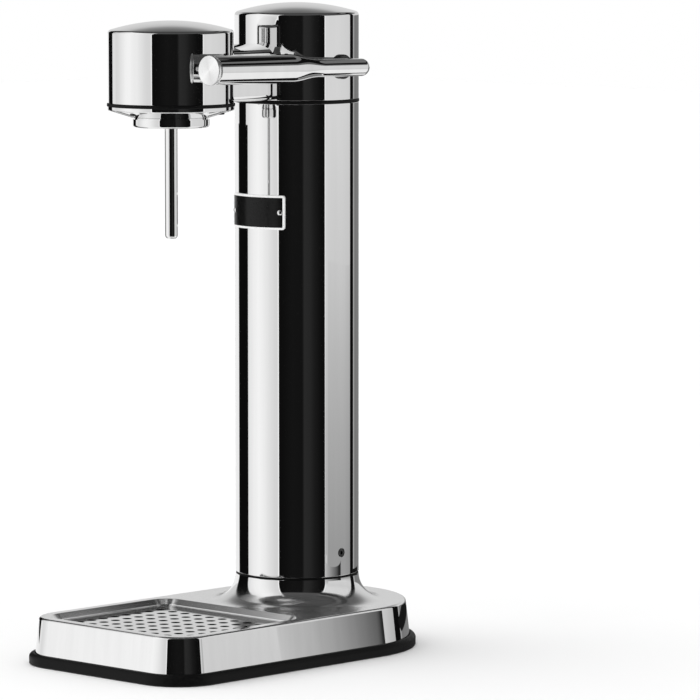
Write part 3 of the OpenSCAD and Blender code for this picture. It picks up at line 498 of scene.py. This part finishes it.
# rubber ring between z0 and z1: a flat band turned about y, with both its outer edges rounded
def sealRing(name, r, bore, z0, z1, y, node):
    b = min(seal["bead"], (z1 - z0 - seal["leastFlat"]) / 2)
    runs = [straight((bore, z0), (r - b, z0)), bend((r - b, z0 + b), b, -90, 0, 6),
            straight((r, z0 + b), (r, z1 - b)), bend((r - b, z1 - b), b, 0, 90, 6),
            *corners((r - b, z1), (bore, z1), (bore, z0))]
    place(name, turnedAll(runs, (0, y, 0)), "black_rubber", "frame", node)


column = {"wall": 1.5, "edge": 0.4, "screwZ": 63.3, "screwHoleR": 3.0, "screwSeat": 38.1, "screwL": 3.0}


# column: a tube with a hole at each side, and a rubber ring at each end
def makeColumn():
    r, y, e = machine["columnR"], machine["columnY"], column["edge"]
    z0, z1 = machine["columnZ0"], machine["columnZ1"]
    bore = r - column["wall"]
    runs = [straight((bore, z0), (r - e, z0)), bend((r - e, z0 + e), e, -90, 0, 6),
            bend((r - e, z1 - e), e, 0, 90, 6), straight((r - e, z1), (bore, z1))]
    parts = turnedAll(runs, columnAxis)
    holes = [90.0, 270.0], column["screwZ"], column["screwHoleR"]
    outside, outerEdges = piercedWall(r, z0 + e, z1 - e, y, *holes)
    inside, innerEdges = piercedWall(bore, z0, z1, y, *holes, side=-1)
    parts += outside + inside
    # bore of each hole, between its two edges
    for outer, inner in zip(outerEdges, innerEdges):
        inward = (outer.mean(0) - outer) * (0, 1, 1)
        inward /= np.linalg.norm(inward, axis=1)[:, None]
        parts.append(gridPart(np.stack([outer, inner]), np.stack([inward, inward])))
    place("columnTube", parts, "polished_steel", "frame", "column_tube")
    sealRing("lowerSeam", seal["lowerR"], bore, machine["baseTop"] + base["flareR"], z0, y, "lower_gasket")
    sealRing("upperSeal", seal["upperR"], bore - seal["inset"], z1, machine["capZ"], y, "upper_gasket")


screw = {"headR": 2.7, "headH": 1.4, "dome": 0.5, "socketR": 1.35, "socketD": 0.9, "shankR": 1.6}


# domed screw with a hexagon socket: its head stands on origin and faces along axes[2]
def screwParts(origin, axes, shank):
    s, n, side = screw, 36, 6
    origin = np.array(origin, float)
    t = np.linspace(0, 360, n + 1)
    ring = np.outer(np.cos(np.radians(t)), axes[0]) + np.outer(np.sin(np.radians(t)), axes[1])
    # hexagon: radius R cos 30 / cos b, where b is the angle from the middle of a side
    reach = s["socketR"] * np.cos(np.pi / 6) / np.cos(np.radians(t % 60 - 30))
    top, edge = s["headH"] * axes[2], s["headR"] - s["dome"]
    mouth = origin + reach[:, None] * ring + top
    floor = mouth - s["socketD"] * axes[2]
    hub = np.tile(origin + top - s["socketD"] * axes[2], (n + 1, 1))
    flat = np.tile(axes[2], (2, n + 1, 1))
    parts = [gridPart(np.stack([hub, floor]), flat),
             gridPart(np.stack([mouth, origin + edge * ring + top]), flat)]
    for i in range(0, n, side):
        wall = slice(i, i + side + 1)
        inward = -ring[i + side // 2]
        parts.append(gridPart(np.stack([mouth[wall], floor[wall]]), np.tile(inward, (2, side + 1, 1))))
    runs = corners((0, -shank), (s["shankR"], -shank), (s["shankR"], 0), (s["headR"], 0),
                   (s["headR"], s["headH"] - s["dome"]))
    runs.append(bend((edge, s["headH"] - s["dome"]), s["dome"], 0, 90, 6))
    return parts + turnedAll(runs, origin, axes, n)


# column's screws: one at each side, facing out along x
def makeColumnScrews():
    parts = []
    for side in (-1, 1):
        seat = (side * column["screwSeat"], machine["columnY"], column["screwZ"])
        parts += screwParts(seat, (yWay, side * up, side * xWay), column["screwL"])
    place("columnScrews", parts, "screw_steel", "frame", "column_screws")


badge = {"half": 33.6, "z": 282.0, "height": 21.7, "rim": 1.4, "proud": 1.8, "panel": 1.55, "clear": 0.02,
         "cornerR": 1.7, "edge": 0.35}
badgeHalf = np.radians(badge["half"]) * machine["columnR"]  # half its width, along the column's round


# place on the column's front: s along the round, z up, h off the surface
def onColumn(s, z, h):
    r = machine["columnR"]
    t = np.asarray(s) / r
    return np.stack([(r + h) * np.sin(t), machine["columnY"] - (r + h) * np.cos(t), z + 0 * t], -1)


# directions out of the column and along its round, at s
def waysOnColumn(s):
    t = np.asarray(s) / machine["columnR"]
    out = np.stack([np.sin(t), -np.cos(t), 0 * t], -1)
    return out, np.stack([-out[..., 1], out[..., 0], 0 * t], -1)


# badge's panel: a grid over (s, z) at one height off the column, closed at its four edges
def makeBadgePanel():
    b = badge
    wide, tall = badgeHalf - b["rim"] / 2, b["height"] / 2 - b["rim"] / 2
    s, z = np.meshgrid(np.linspace(-wide, wide, 61), b["z"] + np.linspace(-tall, tall, 9), indexing="ij")
    front, back = onColumn(s, z, b["panel"]), onColumn(s, z, b["clear"])
    out, along = waysOnColumn(s)
    upward = up + 0 * out
    parts = [gridPart(front, out), gridPart(back, -out)]
    for cut, way in ((np.s_[0], -along), (np.s_[-1], along), (np.s_[:, 0], -upward), (np.s_[:, -1], upward)):
        parts.append(gridPart(np.stack([front[cut], back[cut]]), np.stack([way[cut], way[cut]])))
    place("badgePanel", parts, "badge_enamel", "frame", "badge_plate")


# plan with each of its spans cut into n, so that it can follow the column's round
def refined(plan, n):
    s = np.linspace(0, 1, n + 1)[:-1, None]
    q, out = [np.concatenate([(a[:-1, None] + (a[1:, None] - a[:-1, None]) * s).reshape(-1, 2), a[-1:]])
              for a in plan]
    return q, out / np.linalg.norm(out, axis=1)[:, None]


# badge's frame: a rounded bar, run (u, h), carried round a rounded rectangle that is wrapped on the column
def makeBadgeFrame():
    b, e, tall = badge, badge["edge"], badge["height"] / 2
    rim, proud = b["rim"], b["proud"]
    q, side = refined(roundedPlan(2 * badgeHalf, -tall, tall, b["cornerR"], b["cornerR"], 8), 24)
    runs = [straight((0, 0), (0, proud - e)), bend((-e, proud - e), e, 0, 90, 5),
            straight((-e, proud), (-rim + e, proud)), bend((-rim + e, proud - e), e, 90, 180, 5),
            *corners((-rim, proud - e), (-rim, 0), (0, 0))]
    parts = []
    for p, m in runs:
        flat = q + p[:, 0, None, None] * side
        lean = m[:, 0, None, None] * side
        out, along = waysOnColumn(flat[..., 0])
        normals = lean[..., :1] * along + lean[..., 1:] * up + m[:, 1, None, None] * out
        parts.append(gridPart(onColumn(flat[..., 0], b["z"] + flat[..., 1], p[:, 1, None]), normals))
    place("badgeFrame", parts, "white_enamel", "frame", "badge_frame")


rivet = {"r": 1.7, "height": 1.0, "ballR": 2.2, "shankR": 0.9, "tail": 1.7, "gap": 0.1, "sink": 0.1}


# rivets: part of a ball on a short shank, turned about the direction out of the column
def makeRivets():
    v, ball = rivet, rivet["ballR"]
    middle, seat = badge["panel"] + v["height"] - ball, badge["panel"] - v["sink"]
    eave = np.degrees(np.arccos(v["r"] / ball))
    runs = corners((0, -v["tail"]), (v["shankR"], -v["tail"]), (v["shankR"], seat), (v["r"], seat),
                   (v["r"], middle + ball * np.sin(np.radians(eave))))
    runs.append(bend((0, middle), ball, eave, 90, 8))
    parts = []
    for side in (-1, 1):
        s = side * (badgeHalf - badge["rim"] - v["r"] - v["gap"])
        out, along = waysOnColumn(s)
        parts += turnedAll(runs, onColumn(s, badge["z"], 0), (along, up, out), 32)
    place("badgeRivets", parts, "polished_steel", "frame", "badge_rivets")


makeColumn()
makeColumnScrews()
makeBadgePanel()
makeBadgeFrame()
makeRivets()
print("column made")


# domed can: upright side, small shoulder arc, spherical crown; the inside is the same drawn in by the wall
def canRuns(r, z0, top):
    sr, big, w, e = [machine[key] for key in ("shoulderR", "crownR", "capWall", "capEdge")]
    b = np.degrees(np.arcsin((r - sr) / (big - sr)))
    middle = top - big
    shoulder = (r - sr, middle + (big - sr) * np.cos(np.radians(b)))
    inside = big - w
    c = np.degrees(np.arcsin((r - w) / inside))
    eave = middle + inside * np.cos(np.radians(c))
    return [straight((r - w, z0), (r - e, z0)), bend((r - e, z0 + e), e, -90, 0, 5),
            straight((r, z0 + e), (r, shoulder[1])), bend(shoulder, sr, 0, 90 - b, 10),
            bend((0, middle), big, 90 - b, 90, 40),
            bend((0, middle), inside, 90, 90 - c, 12), straight((r - w, eave), (r - w, z0))]


# cap: a domed can on the column's axis
def makeCap():
    runs = canRuns(machine["columnR"], machine["capZ"], machine["capTop"])
    place("rearCap", turnedAll(runs, columnAxis), "polished_steel", "frame", "rear_cap")


bridge = {"half": 14.7, "z0": 353.0, "height": 35.7, "crown": 26.0, "edgeR": 4.0, "wall": 2.0}


# right half of the bridge's section, drawn in by t: floor, corner, side, shoulder and arched top
def bridgeRuns(t):
    b = bridge
    w, f, big = b["half"] - t, b["edgeR"] - t / 2, b["crown"] - t
    z0, middle = b["z0"] + t, b["z0"] + b["height"] - b["crown"]
    a = np.degrees(np.arccos((w - f) / (big - f)))
    shoulder = (w - f, middle + (big - f) * np.sin(np.radians(a)))
    return [straight((0, z0), (w - f, z0)), bend((w - f, z0 + f), f, -90, 0, 10),
            straight((w, z0 + f), (w, shoulder[1])), bend(shoulder, f, 0, a, 10),
            bend((0, middle), big, a, 90, 16)]


# bridge: a hollow bar whose ends follow the rounds of the head and the cap, y = centre + or - sqrt(r^2 - x^2)
def makeBridge():
    headY, headR, columnY, columnR = [machine[key] for key in ("headY", "headR", "columnY", "columnR")]
    parts = []
    for outer, inner in zip(bridgeRuns(0), bridgeRuns(bridge["wall"])):
        for side in (-1, 1):
            fronts, rears = [], []
            for (p, m), way in ((outer, 1), (inner, -1)):
                x, z = side * p[:, 0], p[:, 1]
                fronts.append(np.stack([x, headY + np.sqrt(headR ** 2 - x ** 2), z], -1))
                rears.append(np.stack([x, columnY - np.sqrt(columnR ** 2 - x ** 2), z], -1))
                normal = way * np.stack([side * m[:, 0], 0 * x, m[:, 1]], -1)
                parts.append(gridPart(np.stack([fronts[-1], rears[-1]]), np.stack([normal, normal])))
            for ends, way in ((fronts, -yWay), (rears, yWay)):
                parts.append(gridPart(np.stack(ends), np.tile(way, (2, len(ends[0]), 1))))
    place("bridgeBar", parts, "polished_steel", "frame", "bridge")


dish = {"lipR": 39.65, "lipZ": 349.3, "lipEdge": 0.6, "top": 351.7, "low": 344.7, "lowR": 24.4,
        "socketR": 19.0, "socketTop": 355.9, "cupWall": 2.0}
dishSlope = (dish["lipZ"] - dish["low"]) / (dish["lipR"] - dish["lipEdge"] - dish["lowR"])
nozzle = {"r": 4.0, "bore": 2.0, "tip": 268.7, "top": 365.9, "tipR": 2.4, "tipTurn": 70, "hollow": 0.14,
          "flange": 3.0, "flangeZ": 353.9}


# head: a domed can with a rubber ring under it
def makeHead():
    r, z = machine["headR"], machine["headZ"]
    place("headShell", turnedAll(canRuns(r, z, machine["headTop"]), headAxis), "polished_steel", "frame",
          "head_shell")
    sealRing("headSeal", r + seal["headProud"], r - seal["inset"], dish["top"], z, machine["headY"],
             "head_gasket")


# head's underside: a cup for the bottle's mouth, a cone that rises to a rounded lip, and a flat top, turned
def makeDish():
    d, e = dish, dish["lipEdge"]
    rim = (d["lipR"] - e, d["lipZ"] + e)
    lip = bend(rim, e, np.degrees(np.arctan(dishSlope)) - 90, 0, 7)
    cupR, cupTop = d["socketR"] + d["cupWall"], d["socketTop"] + d["cupWall"]
    runs = [*corners((nozzle["r"], cupTop), (nozzle["r"], d["socketTop"]), (d["socketR"], d["socketTop"]),
                     (d["socketR"], d["low"]), (d["lowR"], d["low"]), lip[0][0]), lip,
            *corners((d["lipR"], rim[1]), (d["lipR"], d["top"]), (cupR, d["top"]), (cupR, cupTop),
                     (nozzle["r"], cupTop))]
    place("headDish", turnedAll(runs, headAxis), "polished_steel", "frame", "head_dish")


collar = {"r": 24.0, "low": 338.7, "edge": 1.5, "mouthEdge": 0.6, "groove": 1.0,
          "lugZ": 339.5, "lugH": 2.4, "lugReach": 3.0, "lugRoot": 0.5, "lugTurn": 40.0}


# bottle collar: a turned ring with a groove under the dish, and three lugs that are turned part of the way
def makeCollar():
    c, e, f, g = collar, collar["edge"], collar["mouthEdge"], collar["groove"]
    r, mouth, low, top = c["r"], dish["socketR"], c["low"], dish["low"]
    runs = [straight((mouth + f, low), (r - e, low)), bend((r - e, low + e), e, -90, 0, 10),
            *corners((r, low + e), (r, top - g), (r - g, top - g), (r - g, top), (mouth, top),
                     (mouth, low + f)),
            bend((mouth + f, low + f), f, 180, 270, 5)]
    parts = turnedAll(runs, headAxis)
    inner, root = mouth - c["lugReach"], mouth + c["lugRoot"]
    z0, z1 = c["lugZ"], c["lugZ"] + c["lugH"]
    lug = corners((inner, z0), (root, z0), (root, z1), (inner, z1), (inner, z0))
    reach, height = np.meshgrid([inner, root], [z0, z1], indexing="ij")
    for start in (120.0, 240.0, 0.0):
        end = start + c["lugTurn"]
        parts += [turned(run, headAxis, upright, 14, start, end) for run in lug]
        for t, side in ((start, -1), (end, 1)):
            a = np.radians(t)
            ray = np.array([np.sin(a), -np.cos(a), 0.0])
            points = reach[..., None] * ray + height[..., None] * up + headAxis
            parts.append(gridPart(points, np.tile(side * np.array([np.cos(a), np.sin(a), 0.0]), (2, 2, 1))))
    place("bottleCollar", parts, "polished_steel", "frame", "bottle_collar")


# nozzle: a turned tube with a rounded tip, and a flange that sits under the top of the cup
def makeNozzle():
    v, r, bore, t = nozzle, nozzle["r"], nozzle["bore"], nozzle["tipR"]
    wide, mouth = r + v["flange"], v["tip"] + v["hollow"]
    tip = bend((r - t, v["tip"] + t), t, -v["tipTurn"], 0, 8)
    runs = [straight((bore, mouth), tip[0][0]), tip,
            *corners((r, v["tip"] + t), (r, v["flangeZ"]), (wide, v["flangeZ"]), (wide, dish["socketTop"]),
                     (r, dish["socketTop"]), (r, v["top"]), (bore, v["top"]), (bore, mouth))]
    place("nozzleTube", turnedAll(runs, headAxis, upright, 64), "polished_steel", "frame", "nozzle_tube")


headScrew = {"ringR": 31.8, "angles": [60, 180, 300], "sink": 1.2, "length": 15.48}


# head's screws: on a ring under the dish, facing down, each seated in its cone
def makeHeadScrews():
    v, r = headScrew, headScrew["ringR"]
    seat = dish["low"] + (r - dish["lowR"]) * dishSlope + v["sink"]
    parts = []
    for t in np.radians(v["angles"]):
        origin = (r * np.sin(t), machine["headY"] + r * np.cos(t), seat)
        parts += screwParts(origin, (xWay, -yWay, -up), v["length"])
    place("headScrews", parts, "screw_steel", "frame", "head_screws")


makeCap()
makeBridge()
makeHead()
makeDish()
makeCollar()
makeNozzle()
makeHeadScrews()
print("cap, bridge and head made")


lever = {"x": 53.0, "front": 131.2, "back": 9.4, "handleR": 9.1, "rodR": 5.6, "taperAt": 33.0, "taperL": 29.0,
         "edge": 0.4, "tilt": 0.9}
leverTilt = np.radians(lever["tilt"])
leverWay = np.array([0.0, -np.cos(leverTilt), np.sin(leverTilt)])
leverAt = np.array([lever["x"], machine["columnY"], machine["pivotZ"]])
leverAxes = (xWay, np.cross(leverWay, xWay), leverWay)
# the last stops, of (share of the turn round the disc, brightness), are painted sheen: the disc's colour
# grows lighter and darker by angle
disc = {"length": 3.0, "neck": 0.9, "neckL": 0.5, "flareL": 1.1, "proud": 0.15, "edge": 0.45,
        "rings": 900.0, "wander": 1.5, "rough": (0.24, 0.38),
        "paintedSheen": [(0.0, 0.9), (0.12, 0.99), (0.3, 0.78), (0.5, 0.92), (0.62, 0.99), (0.8, 0.8), (1.0, 0.9)]}
discAt = lever["front"] - disc["length"]


# lever: a rod with a half ball behind and a taper to the handle, turned about the lever's own line
def makeLever():
    v, rod, handle, e = lever, lever["rodR"], lever["handleR"], lever["edge"]
    s = np.linspace(0, 1, 49)
    # taper: radius eases from rod to handle as half a cosine wave
    taper = np.column_stack([rod + (handle - rod) * (1 - np.cos(np.pi * s)) / 2,
                             v["taperAt"] + v["taperL"] * s])
    runs = [bend((0, rod - v["back"]), rod, -90, 0, 20),
            straight((rod, rod - v["back"]), (rod, v["taperAt"])), flow(taper),
            straight((handle, v["taperAt"] + v["taperL"]), (handle, discAt - e)),
            bend((handle - e, discAt - e), e, 0, 90, 5), straight((handle - e, discAt), (0, discAt))]
    place("leverRod", turnedAll(runs, leverAt, leverAxes, 96), "polished_steel", "lever", "lever_rod")


# lever's disc: brushed round its own middle; the fan of light such brushing gives is painted into its colour
# as painted sheen by angle, and fine rings vary its roughness
def spunFinish():
    material = makeFinish("spun_steel")
    where = addNode(material, "ShaderNodeTexCoord")
    centred = addNode(material, "ShaderNodeMapping", vector_type="TEXTURE")
    tip = leverAt + lever["front"] * leverWay
    setInputs(centred, {"Location": mm * tip, "Rotation": (np.pi / 2, 0, 0)})
    paintedSheen = addNode(material, "ShaderNodeTexGradient", gradient_type="RADIAL")
    rings = addNode(material, "ShaderNodeTexWave", wave_type="RINGS", rings_direction="Z")
    setInputs(rings, {"Scale": disc["rings"], "Distortion": disc["wander"]})
    link(material, where.outputs["Object"], centred.inputs["Vector"])
    for node in (paintedSheen, rings):
        link(material, centred.outputs["Vector"], node.inputs["Vector"])
    # painted sheen: brightness set by the angle round the disc's middle, painted into its base colour
    tint = rampOf(material, paintedSheen.outputs["Fac"], [(at, grey(value)) for at, value in disc["paintedSheen"]])
    link(material, tint, shaderOf(material).inputs["Base Color"])
    roughenBy(material, rings.outputs["Fac"], *disc["rough"], 0.0, 1.0)
    return material


# disc: a short neck, then a cone out to a rounded rim, turned about the lever's line
def makeDisc():
    v, e, end = disc, disc["edge"], lever["front"]
    neck, rim = lever["handleR"] - v["neck"], lever["handleR"] + v["proud"]
    runs = corners((0, discAt), (neck, discAt), (neck, discAt + v["neckL"]), (rim, discAt + v["flareL"]),
                   (rim, end - e))
    runs += [bend((rim - e, end - e), e, 0, 90, 6), straight((rim - e, end), (0, end))]
    place("leverDisc", turnedAll(runs, leverAt, leverAxes, 96), "spun_steel", "lever", "lever_disc",
          special=spunFinish())


bush = {"r": 7.8, "length": 9.0, "proud": 2.7, "bore": 4.05, "edge": 0.8}


# bush: a ring with one rounded edge, turned about the shaft
def makeBush():
    r, bore, e = bush["r"], bush["bore"], bush["edge"]
    x1 = machine["columnR"] + bush["proud"]
    x0 = x1 - bush["length"]
    runs = [*corners((bore, x0), (r, x0), (r, x1 - e)), bend((r - e, x1 - e), e, 0, 90, 7),
            *corners((r - e, x1), (bore, x1), (bore, x0))]
    pivot = (0, machine["columnY"], machine["pivotZ"])
    place("leverBush", turnedAll(runs, pivot, (yWay, up, xWay), 72), "black_plastic", "frame", "lever_bush")


spring = {"coilR": 6.0, "wireR": 0.6, "turns": 3, "z0": 356.3, "z1": 363.57, "travel": 2.8}


# return spring: a round wire along a helix that the plunger presses down on the valve block; the helix is
# built at one length and does not shorten
def makeSpring():
    v, r = spring, spring["wireR"]
    s = np.linspace(0, 1, 48 * v["turns"] + 1)[:, None, None]
    turn = 2 * np.pi * v["turns"] * s
    about = np.radians(np.linspace(0, 360, 13))[None, :, None]
    # wire: coilR * ray + wireR * normal, where the normal turns in the plane of the ray and the axis
    ray = np.concatenate([np.cos(turn), np.sin(turn), 0 * turn], -1)
    rise = v["z0"] + r + (v["z1"] - v["z0"] - 2 * r) * s
    middle = v["coilR"] * ray + rise * up + columnAxis
    normals = np.cos(about) * ray + np.sin(about) * up
    points = middle + r * normals
    parts = [gridPart(points, normals)]
    for end, side in ((0, -1), (-1, 1)):
        hub = np.repeat(middle[end], points.shape[1], 0)
        along = side * np.array([-ray[end, 0, 1], ray[end, 0, 0], 0.0])
        parts.append(gridPart(np.stack([hub, points[end]]), np.tile(along, (2, len(hub), 1))))
    piece = place("returnSpring", parts, "screw_steel", "frame", "return_spring")
    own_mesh(piece)


makeLever()
makeDisc()
makeBush()
makeSpring()
print("lever and spring made")

# the first colour here is painted shade: near black, for the upright walls of the punched holes
grille = {"holeShade": 0.01, "rough": (0.05, 0.09), "tint": (0.74, 0.82)}


# grille: a bright plate whose punched hole walls are painted near black, as painted shade in the holes
def grilleFinish():
    material = makeFinish("satin_steel")
    material.name = "grille_steel"
    shader = shaderOf(material)
    tint = shader.inputs["Base Color"].links[0].from_socket
    mix = addNode(material, "ShaderNodeMix", data_type="RGBA")
    # painted shade: upright faces, the hole walls, take the dark colour, and level faces keep the plate's
    # tint
    setInputs(mix, {"A": (*grey(grille["holeShade"]), 1)})
    link(material, levelOf(material), mix.inputs["Factor"])
    link(material, tint, mix.inputs["B"])
    link(material, mix.outputs["Result"], shader.inputs["Base Color"])
    roughenBy(material, tint, *grille["rough"], *grille["tint"])
    return material


# every other node keeps its solid and takes its slot's finish
slotOf = {part["node"]: part["material_slot"] for part in frame["record"]["subparts"]}
for name, node in frame["nodes"].items():
    node.data.materials.clear()
    node.data.materials.append(grilleFinish() if name == "drip_grille" else finish[slotOf[name]])
print("nodes finished")


# studio: a pale floor, a white world that darkens overhead, and boards that only mirrors see
studio = {"floor": 0.90, "floorHalf": 6.0, "centre": (0.0, -0.0595), "ambient": 0.95,
          "key": 0.9, "keyWay": (0.5, 0.3, -1.0), "keySoft": 50.0}
toCamera = -np.array(view["ahead"][:2]) / np.linalg.norm(view["ahead"][:2])
toRight = np.array([-toCamera[1], toCamera[0]])


# glow of a board; a one-sided board is clear from behind, as a lamp's front is
def boardFinish(oneSided):
    material = bpy.data.materials.new("board")
    material.use_nodes = True
    material.node_tree.nodes.clear()
    shade = addNode(material, "ShaderNodeAttribute", attribute_name="shade")
    glow = addNode(material, "ShaderNodeEmission")
    link(material, shade.outputs["Fac"], glow.inputs["Color"])
    surface = addNode(material, "ShaderNodeOutputMaterial").inputs["Surface"]
    if oneSided:
        mix = addNode(material, "ShaderNodeMixShader")
        link(material, addNode(material, "ShaderNodeNewGeometry").outputs["Backfacing"], mix.inputs[0])
        link(material, glow.outputs["Emission"], mix.inputs[1])
        link(material, addNode(material, "ShaderNodeBsdfTransparent").outputs["BSDF"], mix.inputs[2])
        link(material, mix.outputs["Shader"], surface)
    else:
        link(material, glow.outputs["Emission"], surface)
    return material


boardFinishes = {oneSided: boardFinish(oneSided) for oneSided in (False, True)}


# board between two arcs (distance, z): stops are (angle, brightness), with angles from the camera to the
# picture's right, and rows are (share of the height, factor)
def board(name, low, high, stops, rows=((0, 1), (1, 1)), centre=studio["centre"], oneSided=False, n=49):
    angles = np.linspace(stops[0][0], stops[-1][0], n)
    shade = np.interp(angles, [a for a, b in stops], [b for a, b in stops])
    share, gain = np.array(rows, float).T[:, :, None]
    distance, z = [a + (b - a) * share for a, b in zip(low, high)]
    t = np.radians(angles)[:, None]
    flat = distance[..., None] * (np.cos(t) * toCamera + np.sin(t) * toRight)
    points = np.concatenate([flat + np.array(centre), np.repeat(z, n, 1)[..., None]], -1)
    p, m, q = gridPart(points, points)
    mesh = bpy.data.meshes.new(name)
    mesh.from_pydata(p.tolist(), [], q.tolist())
    values = mesh.attributes.new("shade", "FLOAT", "POINT").data
    values.foreach_set("value", (gain * shade).astype(np.float32).ravel())
    mesh.materials.append(boardFinishes[oneSided])
    obj = bpy.data.objects.new(name, mesh)
    bpy.context.scene.collection.objects.link(obj)
    obj.visible_camera = False
    obj.visible_diffuse = False
    obj.visible_shadow = False


columnAt = (0.0, machine["columnY"] * mm)
sideAt = (0.150, 0.100)  # on the floor, to the right of the base
black = 0.004
board("frontDark", (1.6, -1.2), (1.6, 1.6),
      [(-32.5, black), (-5, 0.008), (14, 0.007), (17, 0.026), (28, 0.022), (37, 0.012), (50, 0.005),
       (62, black)])
board("leftBox", (1.3, -1.2), (1.3, 2.0),
      [(-118, 0.78), (-107, 0.84), (-90, 1.0), (-78, 1.05), (-62, 0.97), (-49, 0.84), (-42, 0.78),
       (-32.5, 0.76)])
board("slopeCard", (1.07, 0.24), (0.93, 0.24),
      [(131.5, 0.95), (133, 0.62), (134.5, 0.36), (136.5, 0.2), (140, 0.13), (142, 0.1)],
      centre=(-0.2, -1.035), oneSided=True)
board("leftLine", (1.28, -1.2), (1.28, 2.4), [(-34.2, 1.1), (-32.5, 1.1)])
board("columnFlag", (0.3, 0.0), (0.3, 0.322), [(-132, black), (-98, black)], centre=columnAt)
board("headFlag", (0.3, 0.322), (0.3, 0.9), [(-129, black), (-103, black)], centre=columnAt)
board("leftBack", (4.0, -3.0), (4.0, 0.3), [(-186, 0.95), (-140, 0.95)])
board("rightLine", (0.70, -0.8), (0.70, 0.59), [(61.5, 1.0), (63, 1.0), (63.2, 0.78), (67.5, 0.76)],
      [(0, 0.6), (0.58, 0.62), (0.63, 0.7), (0.7, 0.92), (0.76, 1), (1, 1)])
board("rightBox", (0.701, 0.2), (0.701, 0.59), [(63, 0.78), (110, 0.74), (119, 0.7)],
      [(0, 0.9), (0.3, 1), (1, 1)])
board("rightLow", (4.0, -0.62), (4.0, 0.3), [(48, 1.0), (100, 1.0), (127, 0.8)],
      [(0, 0.40), (0.15, 0.36), (0.33, 0.46), (0.47, 0.56), (0.59, 0.66), (0.73, 0.70), (1, 0.76)])
board("rightFlag", (0.69, -0.8), (0.69, 0.59), [(118.5, black), (128.5, black)])
board("rightBack", (4.0, -3.0), (4.0, 0.3), [(127, 0.45), (135, 0.4), (136, 0.2), (187, 0.25)])
board("rightRig", (0.75, 0.59), (0.75, 1.12), [(58, 1.0), (150, 1.0)],
      [(0, 0.13), (0.217, 0.13), (0.226, 0.005), (0.519, 0.005), (0.528, 0.17), (0.774, 0.17), (0.783, 0.006),
       (1, 0.006)])
board("sideCard", (0.042, 0.001), (0.042, 0.043),
      [(-177, 0.01), (-140, 0.03), (-110, 0.2), (-88, 0.35), (-60, 0.5), (2, 0.66)], centre=sideAt)
board("rearShade", (0.30, 0.001), (0.48, 0.001), [(124, 0.01), (146, 0.01)])

# dome that mirrors see: stops of (sine of the elevation, brightness)
dome = [(-0.2, 0.95), (-0.08, 0.95), (0.0, 0.72), (0.26, 0.69), (0.36, 0.63), (0.41, 0.54), (0.47, 0.30),
        (0.53, 0.19), (0.59, 0.123), (0.7, 0.09), (1.0, 0.06)]


# world: white for the camera, the dome for mirrors, and an even light for all else
def makeWorld():
    world = bpy.data.worlds.new("studio")
    bpy.context.scene.world = world
    world.use_nodes = True
    lowest = dome[0][0]
    where = addNode(world, "ShaderNodeTexCoord")
    split = addNode(world, "ShaderNodeSeparateXYZ")
    spread = addNode(world, "ShaderNodeMapRange")
    path = addNode(world, "ShaderNodeLightPath")
    mirrored = addNode(world, "ShaderNodeMix", data_type="RGBA")
    seen = addNode(world, "ShaderNodeMix", data_type="RGBA")
    setInputs(spread, {"From Min": lowest})
    setInputs(mirrored, {"A": (*grey(studio["ambient"]), 1)})
    setInputs(seen, {"B": (1, 1, 1, 1)})
    link(world, where.outputs["Generated"], split.inputs["Vector"])
    link(world, split.outputs["Z"], spread.inputs["Value"])
    stops = [((sine - lowest) / (1 - lowest), grey(value)) for sine, value in dome]
    link(world, rampOf(world, spread.outputs["Result"], stops), mirrored.inputs["B"])
    link(world, path.outputs["Is Glossy Ray"], mirrored.inputs["Factor"])
    link(world, path.outputs["Is Camera Ray"], seen.inputs["Factor"])
    link(world, mirrored.outputs["Result"], seen.inputs["A"])
    link(world, seen.outputs["Result"], world.node_tree.nodes["Background"].inputs["Color"])


# floor: a pale square that mirrors don't show
def makeFloor():
    mesh = bpy.data.meshes.new("floor")
    half = studio["floorHalf"]
    square = [(-half, -half, 0), (half, -half, 0), (half, half, 0), (-half, half, 0)]
    mesh.from_pydata(square, [], [(0, 1, 2, 3)])
    mesh.materials.append(newFinish("paleFloor", grey(studio["floor"]), 0.0, 0.9))
    floor = bpy.data.objects.new("floor", mesh)
    bpy.context.scene.collection.objects.link(floor)
    floor.visible_glossy = False


# key lamp: a wide soft sun that mirrors don't show
def makeKey():
    key = bpy.data.lights.new("key", "SUN")
    key.energy = studio["key"]
    key.angle = np.radians(studio["keySoft"])
    keyLamp = bpy.data.objects.new("key", key)
    keyLamp.rotation_euler = Vector(studio["keyWay"]).to_track_quat("-Z", "Y").to_euler()
    keyLamp.visible_glossy = False
    bpy.context.scene.collection.objects.link(keyLamp)


makeWorld()
makeFloor()
makeKey()
print("studio set")
